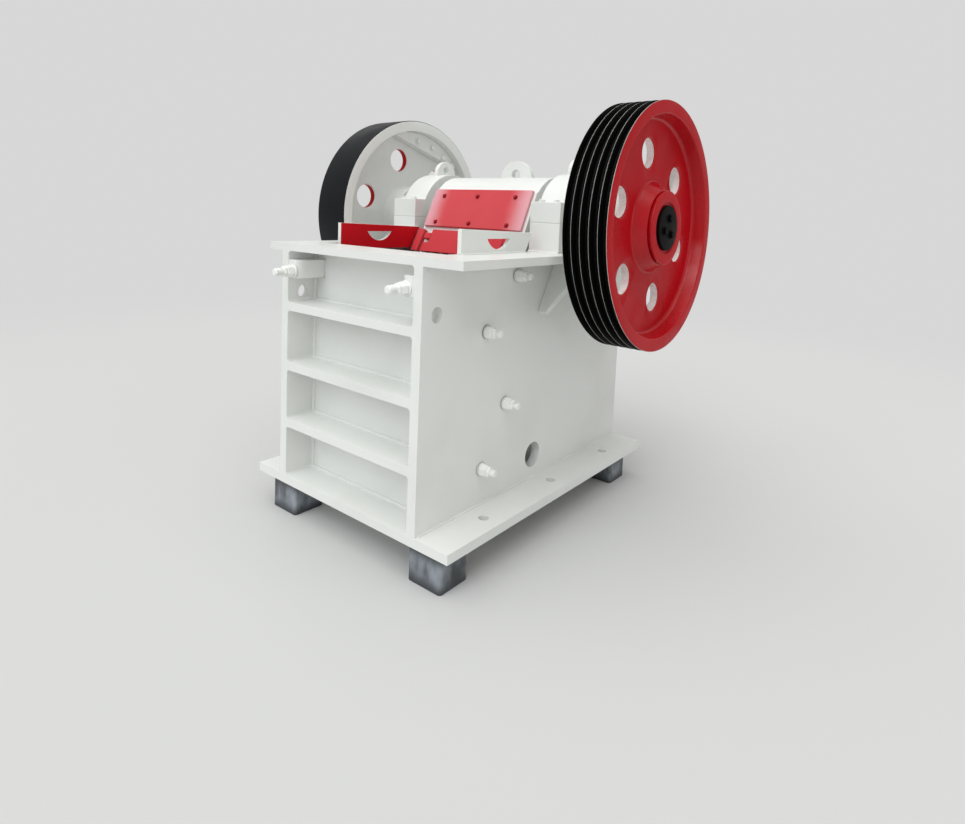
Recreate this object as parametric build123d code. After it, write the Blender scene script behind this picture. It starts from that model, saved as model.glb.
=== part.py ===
"""Jaw crusher: welded frame, swing jaw on an eccentric shaft, grooved sheave and flywheel.

Machine axes while modelling, in millimetres: x to the right along the shaft, y to the rear from the
front face of the frame, z up from the top of the base flanges. Every piece is moved at the end to the
row's origin, on the floor under the middle of the whole machine.
"""
from build123d import *
from math import atan2, cos, degrees, hypot, radians, sin
import os

# Frame
FRAME_WIDTH = 720.0
FRAME_LENGTH = 1320.0
SIDE_HEIGHT = 848.0
SIDE_THICKNESS = 37.0
BASE_THICKNESS = 33.0
FLANGE_WIDTH = 138.0
FOUNDATION_HOLE = 36.0
FOUNDATION_HOLE_COUNT = 3
FOUNDATION_HOLE_FROM_SIDE = 72.0
FOUNDATION_HOLE_FROM_FRONT = 254.0
FOUNDATION_HOLE_FROM_REAR = 238.0
FOOT_WIDTH = 141.0
FOOT_LENGTH = 130.0
FOOT_HEIGHT = 120.0
FOOT_CORNER = 12.0
FOOT_UNDER_RIGHT_SIDE = 40.0
FOOT_UNDER_LEFT_SIDE = 80.0
FOOT_FROM_FRONT = 14.0
FOOT_FROM_REAR = 72.0
OVERCUT = 1.0

# Front wall and its ribs: two undersides measured down from the top of the sides, one up from the base
RIB_DEPTH = 122.0
RIB_THICKNESS = 32.0
UPPER_RIB_DROP = 220.0
MIDDLE_RIB_DROP = 444.0
LOWER_RIB_RISE = 188.0
FRONT_WALL_THICKNESS = 36.0

# Rear wall and its ribs
REAR_WALL_THICKNESS = 36.0
REAR_WALL_DROP = 212.0
REAR_RIB_DEPTH = 86.0
REAR_RIB_RISE = 320.0

# Top plates
TOP_THICKNESS = 28.0
TOP_RIGHT_OVERHANG = 158.0
TOP_LEFT_OVERHANG = 80.0
TOP_INSIDE_SIDE = 10.0

# Lifting and access holes of the side plates
LIFTING_HOLE = 52.0
LIFTING_HOLE_Y = 70.0
LIFTING_HOLE_DROP = 154.0
ACCESS_HOLE = 98.0
ACCESS_HOLE_Y = 641.0
ACCESS_HOLE_Z = 89.0

# Wedge blocks behind the front bolts
WEDGE_WIDTH = 55.0
WEDGE_DROP = 32.0
WEDGE_HEIGHT = 67.0
WEDGE_CORNER = 24.0
WEDGE_BOLT_FROM_SIDE = 31.0
WEDGE_BOLT_RISE = 27.0
WEDGE_BOLT_REACH = 79.0

# Bolts: stud diameter, nut width across flats, nut height, washer diameter and thickness
BOLT_STUD = 24.0
BOLT_NUT_FLATS = 36.0
BOLT_NUT_HEIGHT = 21.0
BOLT_LOCKNUT_HEIGHT = 15.0
BOLT_LOCKNUT_TURN = 22.0
BOLT_WASHER = 50.0
BOLT_WASHER_THICKNESS = 7.0

# Cheek plates, which line the chamber's sides, and their bolts as (y, drop from the top) or (y, rise)
LINER_DROP = 6.0
CHEEK_THICKNESS = 20.0
CHEEK_BOTTOM = 40.0
CHEEK_BEHIND_FACE = 60.0
UPPER_CHEEK_BOLTS = ((484.0, 52.0), (320.0, 237.0))
LOWER_CHEEK_BOLTS = ((441.0, 337.0), (318.0, 129.0))
CHEEK_BOLT_REACH = 65.0

# Jaw plates
JAW_PLATE_THICKNESS = 45.0
TOOTH_PITCH = 50.0
TOOTH_DEPTH = 18.0
TOOTH_TIP = 14.0
FIXED_JAW_BOTTOM = 20.0
DISCHARGE_SETTING = 85.0

# Feed guards, with a half-moon cut each: one on the right top plate, one against the left one's inner edge
GUARD_INSET = 14.0
GUARD_THICKNESS = 17.0
GUARD_FRONT_Y = 187.0
GUARD_TO_HOUSING = 38.0
GUARD_FRONT_HEIGHT = 84.0
GUARD_REAR_HEIGHT = 72.0
GUARD_REAR_SLANT = 40.0
GUARD_CUT_WIDTH = 129.0
GUARD_CUT_TOP = 51.0
GUARD_CUT_DEPTH = 37.0
LEFT_GUARD_SETBACK = 28.0
LEFT_GUARD_DROP = 6.0
LEFT_GUARD_FOOT = 18.0

# Shaft and bearing housings
SHAFT_Y = 872.0
BEARING_CENTRE_HEIGHT = 110.0
SHAFT_RADIUS = 75.0
RUNNING_CLEARANCE = 0.08
FIT_CLEARANCE = 0.05
HOUSING_INSIDE_SIDE = 17.0
HOUSING_WIDTH = 133.0
HOUSING_LENGTH = 488.0
HOUSING_SHOULDER = 78.0
HOUSING_CAP_RADIUS = 198.0
CAP_LUG_WIDTH = 126.0
CAP_LUG_TOP = 258.0
CAP_LUG_THICKNESS = 22.0
CAP_LUG_FROM_INNER = 54.0
CAP_LUG_HOLE = 33.0
CAP_LUG_HOLE_HEIGHT = 221.0

# Gussets under the bearing housings
GUSSET_THICKNESS = 25.0
GUSSET_RISE = 203.0
GUSSET_FOOT_FROM_SHAFT = 232.0
GUSSET_HEAD_FROM_SHAFT = 123.0
GUSSET_NOSE = 35.0
GUSSET_EDGE_MARGIN = 8.0

# Wheels on the shaft
WHEEL_RADIUS = 457.0
WEB_THICKNESS = 36.0
WEB_HOLE = 108.0
WEB_HOLE_FROM_HUB = 50.0
WEB_HOLE_COUNT = 6
WEB_HOLE_FIRST_ANGLE = 12.0
HUB_CONE_RADIUS = 169.0
HUB_NECK_RADIUS = 137.0
HUB_GROOVE_RADIUS = 125.0
HUB_GROOVE_WIDTH = 6.0
HUB_DISC_RADIUS = 136.0
HUB_INNER_RADIUS = 142.0
HUB_CONE_LENGTH = 46.0
HUB_END_X = 747.0
CAP_RADIUS = 84.0
CAP_RECESS_RADIUS = 95.0
CAP_RECESS_DEPTH = 6.0
SHAFT_END_X = 762.0
SHEAVE_INNER_X = 580.0
SHEAVE_OUTER_X = 742.0
SHEAVE_RIM_THICKNESS = 47.0
SHEAVE_WEB_OUTER_X = 685.0
GROOVE_COUNT = 5
GROOVE_DEPTH = 20.0
GROOVE_MOUTH = 25.0
GROOVE_BOTTOM = 13.0
FLYWHEEL_INNER_X = 531.0
FLYWHEEL_OUTER_X = 712.0
FLYWHEEL_RIM_THICKNESS = 49.0
FLYWHEEL_WEB_INNER_X = 612.0
WHEEL_EDGE_CHAMFER = 6.0
RIM_DRAFT = 10.0
COUNTERWEIGHT_DEPTH = 79.0
COUNTERWEIGHT_ANGLE = 16.4
COUNTERWEIGHT_THICKNESS = 44.0
COUNTERWEIGHT_CLEARANCE = 0.3

# Swing jaw: places of its face, clamp and shield in front of the shaft, and gaps to the cheek plates
JAW_FACE_TOP_FROM_SHAFT = 296.0
JAW_FACE_BOTTOM_Z = 72.0
CLAMP_TOP_FROM_SHAFT = 246.0
CLAMP_ABOVE_SIDE = 88.0
SHIELD_TOP_FROM_SHAFT = 161.0
SHIELD_BOTTOM_FROM_SHAFT = 237.0
SHIELD_ABOVE_SHAFT = 125.0
SHIELD_BELOW_SHAFT = 36.0
JAW_HEAD_RADIUS = 184.0
JAW_HEAD_GAP = 33.0
JAW_PLATE_GAP = 13.0
JAW_SLAB_THICKNESS = 85.0
JAW_RIB_THICKNESS = 40.0
JAW_RIB_HEAD_ANGLE = 20.0
SHIELD_GAP = 45.0
SHIELD_THICKNESS = 14.0
CLAMP_THICKNESS = 24.0
CLAMP_GAP = 80.0
CLAMP_NOTCH_WIDTH = 30.0
CLAMP_NOTCH_DEPTH = 62.0
CLAMP_BLOCK_GAP = 2.0
CLAMP_BLOCK_WIDTH = 34.0
CLAMP_BLOCK_LENGTH = 28.0
CLAMP_BLOCK_DROP = 17.0
KEEPER_GAP = 26.0
KEEPER_WIDTH = 36.0
JAW_LUG_BEHIND_SHAFT = 88.0
JAW_LUG_WIDTH = 171.0
JAW_LUG_TOP = 264.0
JAW_LUG_THICKNESS = 26.0
JAW_LUG_HOLE = 46.0
JAW_LUG_HOLE_HEIGHT = 202.0

# Toggle plate between its two seats, and the tension rod under it
TOGGLE_FRONT_Z = 195.0
TOGGLE_REAR_Z = 300.0
TOGGLE_BEHIND_FACE = 222.0
TOGGLE_TO_REAR_WALL = 213.0
TOGGLE_THICKNESS = 38.0
TOGGLE_GAP = 98.0
TOGGLE_SEAT_DEPTH = 12.0
TOGGLE_SEAT_HEIGHT = 130.0
TOGGLE_PIVOT_CLEARANCE = 0.5
ROD_Z = 105.0
ROD_DIAMETER = 36.0
ROD_HOLE = 60.0
ROD_BEHIND_TOGGLE = 34.0
ROD_EYE_DIAMETER = 76.0
ROD_EYE_THICKNESS = 34.0
ROD_EYE_BORE = 38.0
SPRING_DIAMETER = 110.0
SPRING_WIRE = 16.0
SPRING_LENGTH = 128.0
ROD_WASHER_THICKNESS = 14.0
ROD_NUT_FLATS = 58.0
ROD_NUT_HEIGHT = 30.0
ROD_END_LENGTH = 34.0

# Values that follow from the sizes above
SIDE_OUTER_X = FRAME_WIDTH / 2
SIDE_INNER_X = SIDE_OUTER_X - SIDE_THICKNESS
TOP_Z = SIDE_HEIGHT + TOP_THICKNESS
TOP_INNER_X = SIDE_INNER_X - TOP_INSIDE_SIDE
TOP_RIGHT_EDGE = SIDE_OUTER_X + TOP_RIGHT_OVERHANG
TOP_LEFT_EDGE = SIDE_OUTER_X + TOP_LEFT_OVERHANG
BASE_BOTTOM_Z = -BASE_THICKNESS
FLOOR_Z = BASE_BOTTOM_Z - FOOT_HEIGHT
RIB_UNDERSIDES = {
    "upper": SIDE_HEIGHT - UPPER_RIB_DROP,
    "middle": SIDE_HEIGHT - MIDDLE_RIB_DROP,
    "lower": LOWER_RIB_RISE,
}
WEDGE_UNDERSIDE = SIDE_HEIGHT - WEDGE_DROP - WEDGE_HEIGHT
FRONT_WALL_BACK_Y = RIB_DEPTH + FRONT_WALL_THICKNESS
REAR_WALL_BACK_Y = FRAME_LENGTH - REAR_RIB_DEPTH
REAR_WALL_FRONT_Y = REAR_WALL_BACK_Y - REAR_WALL_THICKNESS
REAR_WALL_TOP = SIDE_HEIGHT - REAR_WALL_DROP
REAR_RIB_UNDERSIDES = (REAR_WALL_TOP - RIB_THICKNESS, REAR_RIB_RISE)
LINER_TOP = SIDE_HEIGHT - LINER_DROP
CHAMBER_HALF_WIDTH = SIDE_INNER_X - CHEEK_THICKNESS
SHAFT_Z = TOP_Z + BEARING_CENTRE_HEIGHT
HOUSING_INNER_X = SIDE_INNER_X - HOUSING_INSIDE_SIDE
GUARD_REAR_Y = SHAFT_Y - HOUSING_LENGTH / 2 - GUARD_TO_HOUSING
SHEAVE_RIM_INNER_RADIUS = WHEEL_RADIUS - SHEAVE_RIM_THICKNESS
FLYWHEEL_RIM_INNER_RADIUS = WHEEL_RADIUS - FLYWHEEL_RIM_THICKNESS
CAP_SEAT_X = HUB_END_X - CAP_RECESS_DEPTH
WEB_HOLE_PITCH_RADIUS = HUB_CONE_RADIUS + WEB_HOLE_FROM_HUB + WEB_HOLE / 2
JAW_FACE_TOP = (SHAFT_Y - JAW_FACE_TOP_FROM_SHAFT, LINER_TOP)
JAW_FACE_BOTTOM = (FRONT_WALL_BACK_Y + JAW_PLATE_THICKNESS + DISCHARGE_SETTING, JAW_FACE_BOTTOM_Z)
JAW_SLOPE = (JAW_FACE_TOP[0] - JAW_FACE_BOTTOM[0]) / (JAW_FACE_TOP[1] - JAW_FACE_BOTTOM[1])
CLAMP_TOP = (SHAFT_Y - CLAMP_TOP_FROM_SHAFT, SIDE_HEIGHT + CLAMP_ABOVE_SIDE)
SHIELD_TOP = (SHAFT_Y - SHIELD_TOP_FROM_SHAFT, SHAFT_Z + SHIELD_ABOVE_SHAFT)
SHIELD_BOTTOM = (SHAFT_Y - SHIELD_BOTTOM_FROM_SHAFT, SHAFT_Z - SHIELD_BELOW_SHAFT)
JAW_HEAD_HALF_WIDTH = CHAMBER_HALF_WIDTH - JAW_HEAD_GAP
JAW_PLATE_HALF_WIDTH = CHAMBER_HALF_WIDTH - JAW_PLATE_GAP
SHIELD_HALF_WIDTH = CHAMBER_HALF_WIDTH - SHIELD_GAP
CLAMP_HALF_WIDTH = CHAMBER_HALF_WIDTH - CLAMP_GAP
KEEPER_OUTER_X = CHAMBER_HALF_WIDTH - KEEPER_GAP
TOGGLE_HALF_WIDTH = SIDE_INNER_X - TOGGLE_GAP
TOGGLE_FACE_Y = JAW_FACE_BOTTOM[0] + (TOGGLE_FRONT_Z - JAW_FACE_BOTTOM_Z) * JAW_SLOPE
TOGGLE_FRONT = (TOGGLE_FACE_Y + TOGGLE_BEHIND_FACE, TOGGLE_FRONT_Z)
TOGGLE_REAR = (REAR_WALL_FRONT_Y - TOGGLE_TO_REAR_WALL, TOGGLE_REAR_Z)
ROD_FRONT_Y = TOGGLE_FRONT[0] + ROD_BEHIND_TOGGLE
SPRING_BACK_Y = REAR_WALL_BACK_Y + SPRING_LENGTH
ROD_REAR_Y = SPRING_BACK_Y + ROD_WASHER_THICKNESS + ROD_NUT_HEIGHT + ROD_END_LENGTH
MACHINE_FRONT_Y = -WEDGE_BOLT_REACH
MACHINE_REAR_Y = max(ROD_REAR_Y, SHAFT_Y + WHEEL_RADIUS, FRAME_LENGTH)
MACHINE_MIDDLE_Y = (MACHINE_FRONT_Y + MACHINE_REAR_Y) / 2
TO_ORIGIN = Pos(0, -MACHINE_MIDDLE_Y, -FLOOR_Z)
SIDES = {"right": 1, "left": -1}


def block(x, y, z):
    """A box between two x, two y and two z values, each pair in any order."""
    size = [abs(b - a) for a, b in (x, y, z)]
    centre = [(a + b) / 2 for a, b in (x, y, z)]
    return Pos(*centre) * Box(*size)


def rod_x(y, z, diameter, x_from, x_to):
    """A round bar along x."""
    middle = (x_from + x_to) / 2
    return Pos(middle, y, z) * Rot(0, 90, 0) * Cylinder(diameter / 2, abs(x_to - x_from))


def rod_y(x, z, diameter, y_from, y_to):
    """A round bar along y."""
    middle = (y_from + y_to) / 2
    return Pos(x, middle, z) * Rot(90, 0, 0) * Cylinder(diameter / 2, abs(y_to - y_from))


def side_prism(points, x_from, x_to):
    """A prism along x whose outline is given as (y, z) points."""
    outline = make_face(Polyline(*[(0, y, z) for y, z in points], close=True))
    low, high = sorted((x_from, x_to))
    return Pos(low, 0, 0) * extrude(outline, amount=high - low, dir=(1, 0, 0))


def across(line_top, line_bottom):
    """The unit (y, z) normal, pointing to the front, of a line that runs down and to the front."""
    dy, dz = line_bottom[0] - line_top[0], line_bottom[1] - line_top[1]
    length = hypot(dy, dz)
    return dz / length, -dy / length


def moved(point, direction, distance):
    """A (y, z) point moved along a (y, z) direction."""
    return point[0] + direction[0] * distance, point[1] + direction[1] * distance


def bolt_end(reach):
    """Washer, nut, locknut and stud end, standing on z = 0."""
    washer = Cylinder(BOLT_WASHER / 2, BOLT_WASHER_THICKNESS, align=(Align.CENTER, Align.CENTER, Align.MIN))
    nut = extrude(RegularPolygon(BOLT_NUT_FLATS / 2, 6, major_radius=False), BOLT_NUT_HEIGHT)
    turned_hexagon = RegularPolygon(BOLT_NUT_FLATS / 2, 6, major_radius=False, rotation=BOLT_LOCKNUT_TURN)
    locknut = extrude(turned_hexagon, BOLT_LOCKNUT_HEIGHT)
    stud = Cylinder(BOLT_STUD / 2, reach, align=(Align.CENTER, Align.CENTER, Align.MIN))
    nuts = Pos(0, 0, BOLT_WASHER_THICKNESS) * nut
    nuts += Pos(0, 0, BOLT_WASHER_THICKNESS + BOLT_NUT_HEIGHT) * locknut
    return washer + nuts + stud


def side_plate(side):
    """Full-height side plate with its lifting hole and round access hole."""
    x = (side * SIDE_INNER_X, side * SIDE_OUTER_X)
    plate = block(x, (0, FRAME_LENGTH), (BASE_BOTTOM_Z, SIDE_HEIGHT))
    through = (side * (SIDE_INNER_X - OVERCUT), side * (SIDE_OUTER_X + OVERCUT))
    plate -= rod_x(LIFTING_HOLE_Y, SIDE_HEIGHT - LIFTING_HOLE_DROP, LIFTING_HOLE, *through)
    return plate - rod_x(ACCESS_HOLE_Y, ACCESS_HOLE_Z, ACCESS_HOLE, *through)


def base_flange(side):
    """Foot flange welded outside a side plate, with three foundation bolt holes."""
    outer = SIDE_OUTER_X + FLANGE_WIDTH
    flange = block((side * SIDE_OUTER_X, side * outer), (0, FRAME_LENGTH), (BASE_BOTTOM_Z, 0))
    x = side * (SIDE_OUTER_X + FOUNDATION_HOLE_FROM_SIDE)
    between = FRAME_LENGTH - FOUNDATION_HOLE_FROM_FRONT - FOUNDATION_HOLE_FROM_REAR
    for index in range(FOUNDATION_HOLE_COUNT):
        y = FOUNDATION_HOLE_FROM_FRONT + between * index / (FOUNDATION_HOLE_COUNT - 1)
        flange -= Pos(x, y, -BASE_THICKNESS / 2) * Cylinder(FOUNDATION_HOLE / 2, 2 * BASE_THICKNESS)
    return flange


def between_sides(y, z):
    """A plate across the frame, from one side plate to the other."""
    return block((-SIDE_INNER_X, SIDE_INNER_X), y, z)


def rear_wall():
    """Rear wall that takes the toggle's thrust, with the hole for the tension rod."""
    wall = between_sides((REAR_WALL_FRONT_Y, REAR_WALL_BACK_Y), (0, REAR_WALL_TOP))
    return wall - rod_y(0, ROD_Z, ROD_HOLE, REAR_WALL_FRONT_Y - OVERCUT, REAR_WALL_BACK_Y + OVERCUT)


def rear_ribs():
    """Stiffening ribs behind the rear wall."""
    depth = (REAR_WALL_BACK_Y, FRAME_LENGTH)
    return [between_sides(depth, (z, z + RIB_THICKNESS)) for z in REAR_RIB_UNDERSIDES]


def top_plate(side):
    """Top plate of one side, from the front plate to the rear, over the side plate."""
    edge = TOP_RIGHT_EDGE if side > 0 else TOP_LEFT_EDGE
    x = (side * TOP_INNER_X, side * edge)
    return block(x, (FRONT_WALL_BACK_Y, FRAME_LENGTH), (SIDE_HEIGHT, TOP_Z))


def top_plate_front():
    """Top plate over the front bays, as wide as the two side ones together."""
    return block((-TOP_LEFT_EDGE, TOP_RIGHT_EDGE), (0, FRONT_WALL_BACK_Y), (SIDE_HEIGHT, TOP_Z))


def gusset(side, mirrored):
    """Leaning gusset under a bearing housing, narrow at its foot and wide under the top plate."""
    edge = TOP_RIGHT_EDGE if side > 0 else TOP_LEFT_EDGE
    head_width = edge - SIDE_OUTER_X - GUSSET_EDGE_MARGIN
    run = GUSSET_FOOT_FROM_SHAFT - GUSSET_HEAD_FROM_SHAFT
    length = hypot(run, GUSSET_RISE)
    lean = degrees(atan2(run, GUSSET_RISE))
    overlength = GUSSET_THICKNESS
    slope = (head_width - GUSSET_NOSE) / length
    outline = [
        (0, 0),
        (side * GUSSET_NOSE, 0),
        (side * (head_width + slope * overlength), length + overlength),
        (0, length + overlength),
    ]
    face = make_face(Polyline(*[(x, 0, z) for x, z in outline], close=True))
    plate = extrude(face, amount=GUSSET_THICKNESS / 2, dir=(0, 1, 0), both=True)
    foot = Pos(side * SIDE_OUTER_X, SHAFT_Y - GUSSET_FOOT_FROM_SHAFT, SIDE_HEIGHT - GUSSET_RISE)
    plate = foot * Rot(-lean, 0, 0) * plate
    reach = 2 * TOP_RIGHT_EDGE
    above = block((-reach, reach), (0, FRAME_LENGTH), (SIDE_HEIGHT, SIDE_HEIGHT + length))
    plate -= above
    if mirrored:
        plate = Pos(0, 2 * SHAFT_Y, 0) * mirror(plate, about=Plane.XZ)
    return plate


def wedge_block(side):
    """Wedge block in the top bay, against the side plate, with its front inner corner rounded."""
    inner = SIDE_INNER_X - WEDGE_WIDTH
    z = (WEDGE_UNDERSIDE, WEDGE_UNDERSIDE + WEDGE_HEIGHT)
    wedge = block((side * inner, side * SIDE_INNER_X), (0, RIB_DEPTH), z)
    front_edges = wedge.edges().filter_by(Axis.Z).sort_by(Axis.Y)[:2].sort_by(Axis.X)
    return fillet(front_edges[0 if side > 0 else -1], WEDGE_CORNER)


def wedge_bolts():
    """Clamping bolts that stand out of the wedge blocks to the front."""
    bolt = Rot(90, 0, 0) * bolt_end(WEDGE_BOLT_REACH)
    x, z = SIDE_INNER_X - WEDGE_BOLT_FROM_SIDE, WEDGE_UNDERSIDE + WEDGE_BOLT_RISE
    return [Pos(side * x, 0, z) * bolt for side in SIDES.values()]


def jaw_face_at(z, offset=0.0):
    """The y of the swing jaw's face line at a height, moved to the rear by an offset."""
    return JAW_FACE_BOTTOM[0] + (z - JAW_FACE_BOTTOM_Z) * JAW_SLOPE + offset


def cheek_plate(side):
    """Chamber side liner, cut to the wedge shape between the two jaws."""
    outline = [
        (FRONT_WALL_BACK_Y, CHEEK_BOTTOM),
        (jaw_face_at(CHEEK_BOTTOM, CHEEK_BEHIND_FACE), CHEEK_BOTTOM),
        (jaw_face_at(LINER_TOP, CHEEK_BEHIND_FACE), LINER_TOP),
        (FRONT_WALL_BACK_Y, LINER_TOP),
    ]
    return side_prism(outline, side * CHAMBER_HALF_WIDTH, side * SIDE_INNER_X)


def cheek_bolts(side):
    """Bolts of one cheek plate, outside the side plate."""
    bolt = Rot(0, side * 90, 0) * bolt_end(CHEEK_BOLT_REACH)
    places = [(y, SIDE_HEIGHT - drop) for y, drop in UPPER_CHEEK_BOLTS] + list(LOWER_CHEEK_BOLTS)
    return [Pos(side * SIDE_OUTER_X, y, z) * bolt for y, z in places]


def toothed_outline(half_width, thickness, shift):
    """Outline of a corrugated jaw plate, teeth towards -y, flat back on y = 0."""
    base = -(thickness - TOOTH_DEPTH)
    flank = (TOOTH_PITCH - 2 * TOOTH_TIP) / 2
    points = [(-half_width, 0), (-half_width, base)]
    count = int((2 * half_width - TOOTH_TIP) // TOOTH_PITCH)
    start = -count * TOOTH_PITCH / 2 + shift
    for index in range(count):
        x = start + index * TOOTH_PITCH
        points.append((x + TOOTH_TIP / 2, base))
        points.append((x + TOOTH_TIP / 2 + flank, -thickness))
        points.append((x + TOOTH_TIP / 2 + flank + TOOTH_TIP, -thickness))
        points.append((x + TOOTH_TIP / 2 + 2 * flank + TOOTH_TIP, base))
    points += [(half_width, base), (half_width, 0)]
    return make_face(Polyline(*points, close=True))


def fixed_jaw_plate():
    """Toothed plate on the inside of the front wall."""
    outline = Rot(0, 0, 180) * toothed_outline(CHAMBER_HALF_WIDTH, JAW_PLATE_THICKNESS, 0)
    plate = extrude(outline, amount=LINER_TOP - FIXED_JAW_BOTTOM, dir=(0, 0, 1))
    return Pos(0, FRONT_WALL_BACK_Y, FIXED_JAW_BOTTOM) * plate


def feed_guard(side):
    """Guard plate beside the feed opening, with a half-moon hand hole and a slanted rear end."""
    on_top = side > 0
    outer_x = SIDE_OUTER_X - GUARD_INSET if on_top else TOP_INNER_X
    foot = 0 if on_top else -LEFT_GUARD_FOOT
    rear_slope = GUARD_REAR_SLANT / GUARD_REAR_HEIGHT
    outline = [
        (GUARD_FRONT_Y, foot),
        (GUARD_REAR_Y - (GUARD_REAR_HEIGHT - foot) * rear_slope, foot),
        (GUARD_REAR_Y, GUARD_REAR_HEIGHT),
        (GUARD_FRONT_Y, GUARD_FRONT_HEIGHT),
    ]
    guard = side_prism(outline, side * (outer_x - GUARD_THICKNESS), side * outer_x)
    middle, half = (GUARD_FRONT_Y + GUARD_REAR_Y) / 2, GUARD_CUT_WIDTH / 2
    low = GUARD_CUT_TOP - GUARD_CUT_DEPTH
    ends = (0, middle - half, GUARD_CUT_TOP), (0, middle, low), (0, middle + half, GUARD_CUT_TOP)
    moon = make_face([Line(ends[2], ends[0]), ThreePointArc(*ends)])
    guard -= extrude(moon, amount=2 * outer_x, dir=(1, 0, 0), both=True)
    place = Pos(0, 0, TOP_Z) if on_top else Pos(0, LEFT_GUARD_SETBACK, TOP_Z - LEFT_GUARD_DROP)
    return place * guard


def housing_x(side):
    """The two x values of a bearing housing."""
    return side * HOUSING_INNER_X, side * (HOUSING_INNER_X + HOUSING_WIDTH)


def shaft_hole(clearance):
    """A round bar along the shaft's axis, wider than the shaft by a radial clearance."""
    return rod_x(SHAFT_Y, SHAFT_Z, 2 * (SHAFT_RADIUS + clearance), -SHAFT_END_X, SHAFT_END_X)


def bearing_base(side):
    """Lower half of a split bearing housing, on the top plate."""
    half = HOUSING_LENGTH / 2
    base = block(housing_x(side), (SHAFT_Y - half, SHAFT_Y + half), (TOP_Z, SHAFT_Z))
    return base - shaft_hole(RUNNING_CLEARANCE)


def bearing_cap(side):
    """Upper half of a split bearing housing, with shoulders, round body and lifting lug."""
    half = HOUSING_LENGTH / 2
    x = housing_x(side)
    cap = block(x, (SHAFT_Y - half, SHAFT_Y + half), (SHAFT_Z, SHAFT_Z + HOUSING_SHOULDER))
    crown = rod_x(SHAFT_Y, SHAFT_Z, 2 * HOUSING_CAP_RADIUS, *x)
    reach = 2 * HOUSING_CAP_RADIUS
    crown -= block(x, (SHAFT_Y - reach, SHAFT_Y + reach), (SHAFT_Z - reach, SHAFT_Z))
    middle = side * (HOUSING_INNER_X + CAP_LUG_FROM_INNER)
    lug_x = (middle - CAP_LUG_THICKNESS / 2, middle + CAP_LUG_THICKNESS / 2)
    radius = CAP_LUG_WIDTH / 2
    shoulder_z = SHAFT_Z + CAP_LUG_TOP - radius
    lug = block(lug_x, (SHAFT_Y - radius, SHAFT_Y + radius), (SHAFT_Z + HOUSING_SHOULDER, shoulder_z))
    lug += rod_x(SHAFT_Y, shoulder_z, CAP_LUG_WIDTH, *lug_x)
    hole_x = (lug_x[0] - OVERCUT, lug_x[1] + OVERCUT)
    lug -= rod_x(SHAFT_Y, SHAFT_Z + CAP_LUG_HOLE_HEIGHT, CAP_LUG_HOLE, *hole_x)
    return cap + crown + lug - shaft_hole(RUNNING_CLEARANCE)


def toggle_line():
    """Unit (y, z) direction of the toggle plate, from its front end to its rear end."""
    dy, dz = TOGGLE_REAR[0] - TOGGLE_FRONT[0], TOGGLE_REAR[1] - TOGGLE_FRONT[1]
    length = hypot(dy, dz)
    return dy / length, dz / length


def toggle_plate():
    """Toggle plate with a round nose at each end."""
    along = toggle_line()
    up = (-along[1], along[0])
    half = TOGGLE_THICKNESS / 2
    corners = [
        moved(TOGGLE_FRONT, up, half),
        moved(TOGGLE_FRONT, up, -half),
        moved(TOGGLE_REAR, up, -half),
        moved(TOGGLE_REAR, up, half),
    ]
    width = (-TOGGLE_HALF_WIDTH, TOGGLE_HALF_WIDTH)
    plate = side_prism(corners, *width)
    for y, z in (TOGGLE_FRONT, TOGGLE_REAR):
        plate += rod_x(y, z, TOGGLE_THICKNESS, *width)
    return plate


def toggle_groove(centre):
    """Bar that cuts the seat of a toggle nose."""
    reach = SIDE_OUTER_X
    return rod_x(*centre, TOGGLE_THICKNESS + 2 * TOGGLE_PIVOT_CLEARANCE, -reach, reach)


def toggle_seat():
    """Rear toggle block, carried by the side plates and the rear wall."""
    front = TOGGLE_REAR[0] + TOGGLE_THICKNESS / 2 + TOGGLE_PIVOT_CLEARANCE - TOGGLE_SEAT_DEPTH
    half = TOGGLE_SEAT_HEIGHT / 2
    seat = between_sides((front, REAR_WALL_FRONT_Y), (TOGGLE_REAR[1] - half, TOGGLE_REAR[1] + half))
    return seat - toggle_groove(TOGGLE_REAR)


def tension_rod():
    """Rod with its front eye, and the washer and nut that press on the spring."""
    rod = rod_y(0, ROD_Z, ROD_DIAMETER, ROD_FRONT_Y, ROD_REAR_Y)
    rod += rod_x(ROD_FRONT_Y, ROD_Z, ROD_EYE_DIAMETER, -ROD_EYE_THICKNESS / 2, ROD_EYE_THICKNESS / 2)
    rod -= rod_x(ROD_FRONT_Y, ROD_Z, ROD_EYE_BORE, -ROD_EYE_THICKNESS, ROD_EYE_THICKNESS)
    washer_back = SPRING_BACK_Y + ROD_WASHER_THICKNESS
    rod += rod_y(0, ROD_Z, SPRING_DIAMETER, SPRING_BACK_Y, washer_back)
    nut = extrude(RegularPolygon(ROD_NUT_FLATS / 2, 6, major_radius=False), ROD_NUT_HEIGHT)
    return rod + Pos(0, washer_back, ROD_Z) * Rot(-90, 0, 0) * nut


def tension_spring():
    """Spring between the rear wall and the tension rod's washer, as a sleeve of its outer size."""
    sleeve = rod_y(0, ROD_Z, SPRING_DIAMETER, REAR_WALL_BACK_Y, SPRING_BACK_Y)
    inner = SPRING_DIAMETER - 2 * SPRING_WIRE
    return sleeve - rod_y(0, ROD_Z, inner, REAR_WALL_BACK_Y - OVERCUT, SPRING_BACK_Y + OVERCUT)


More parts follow.
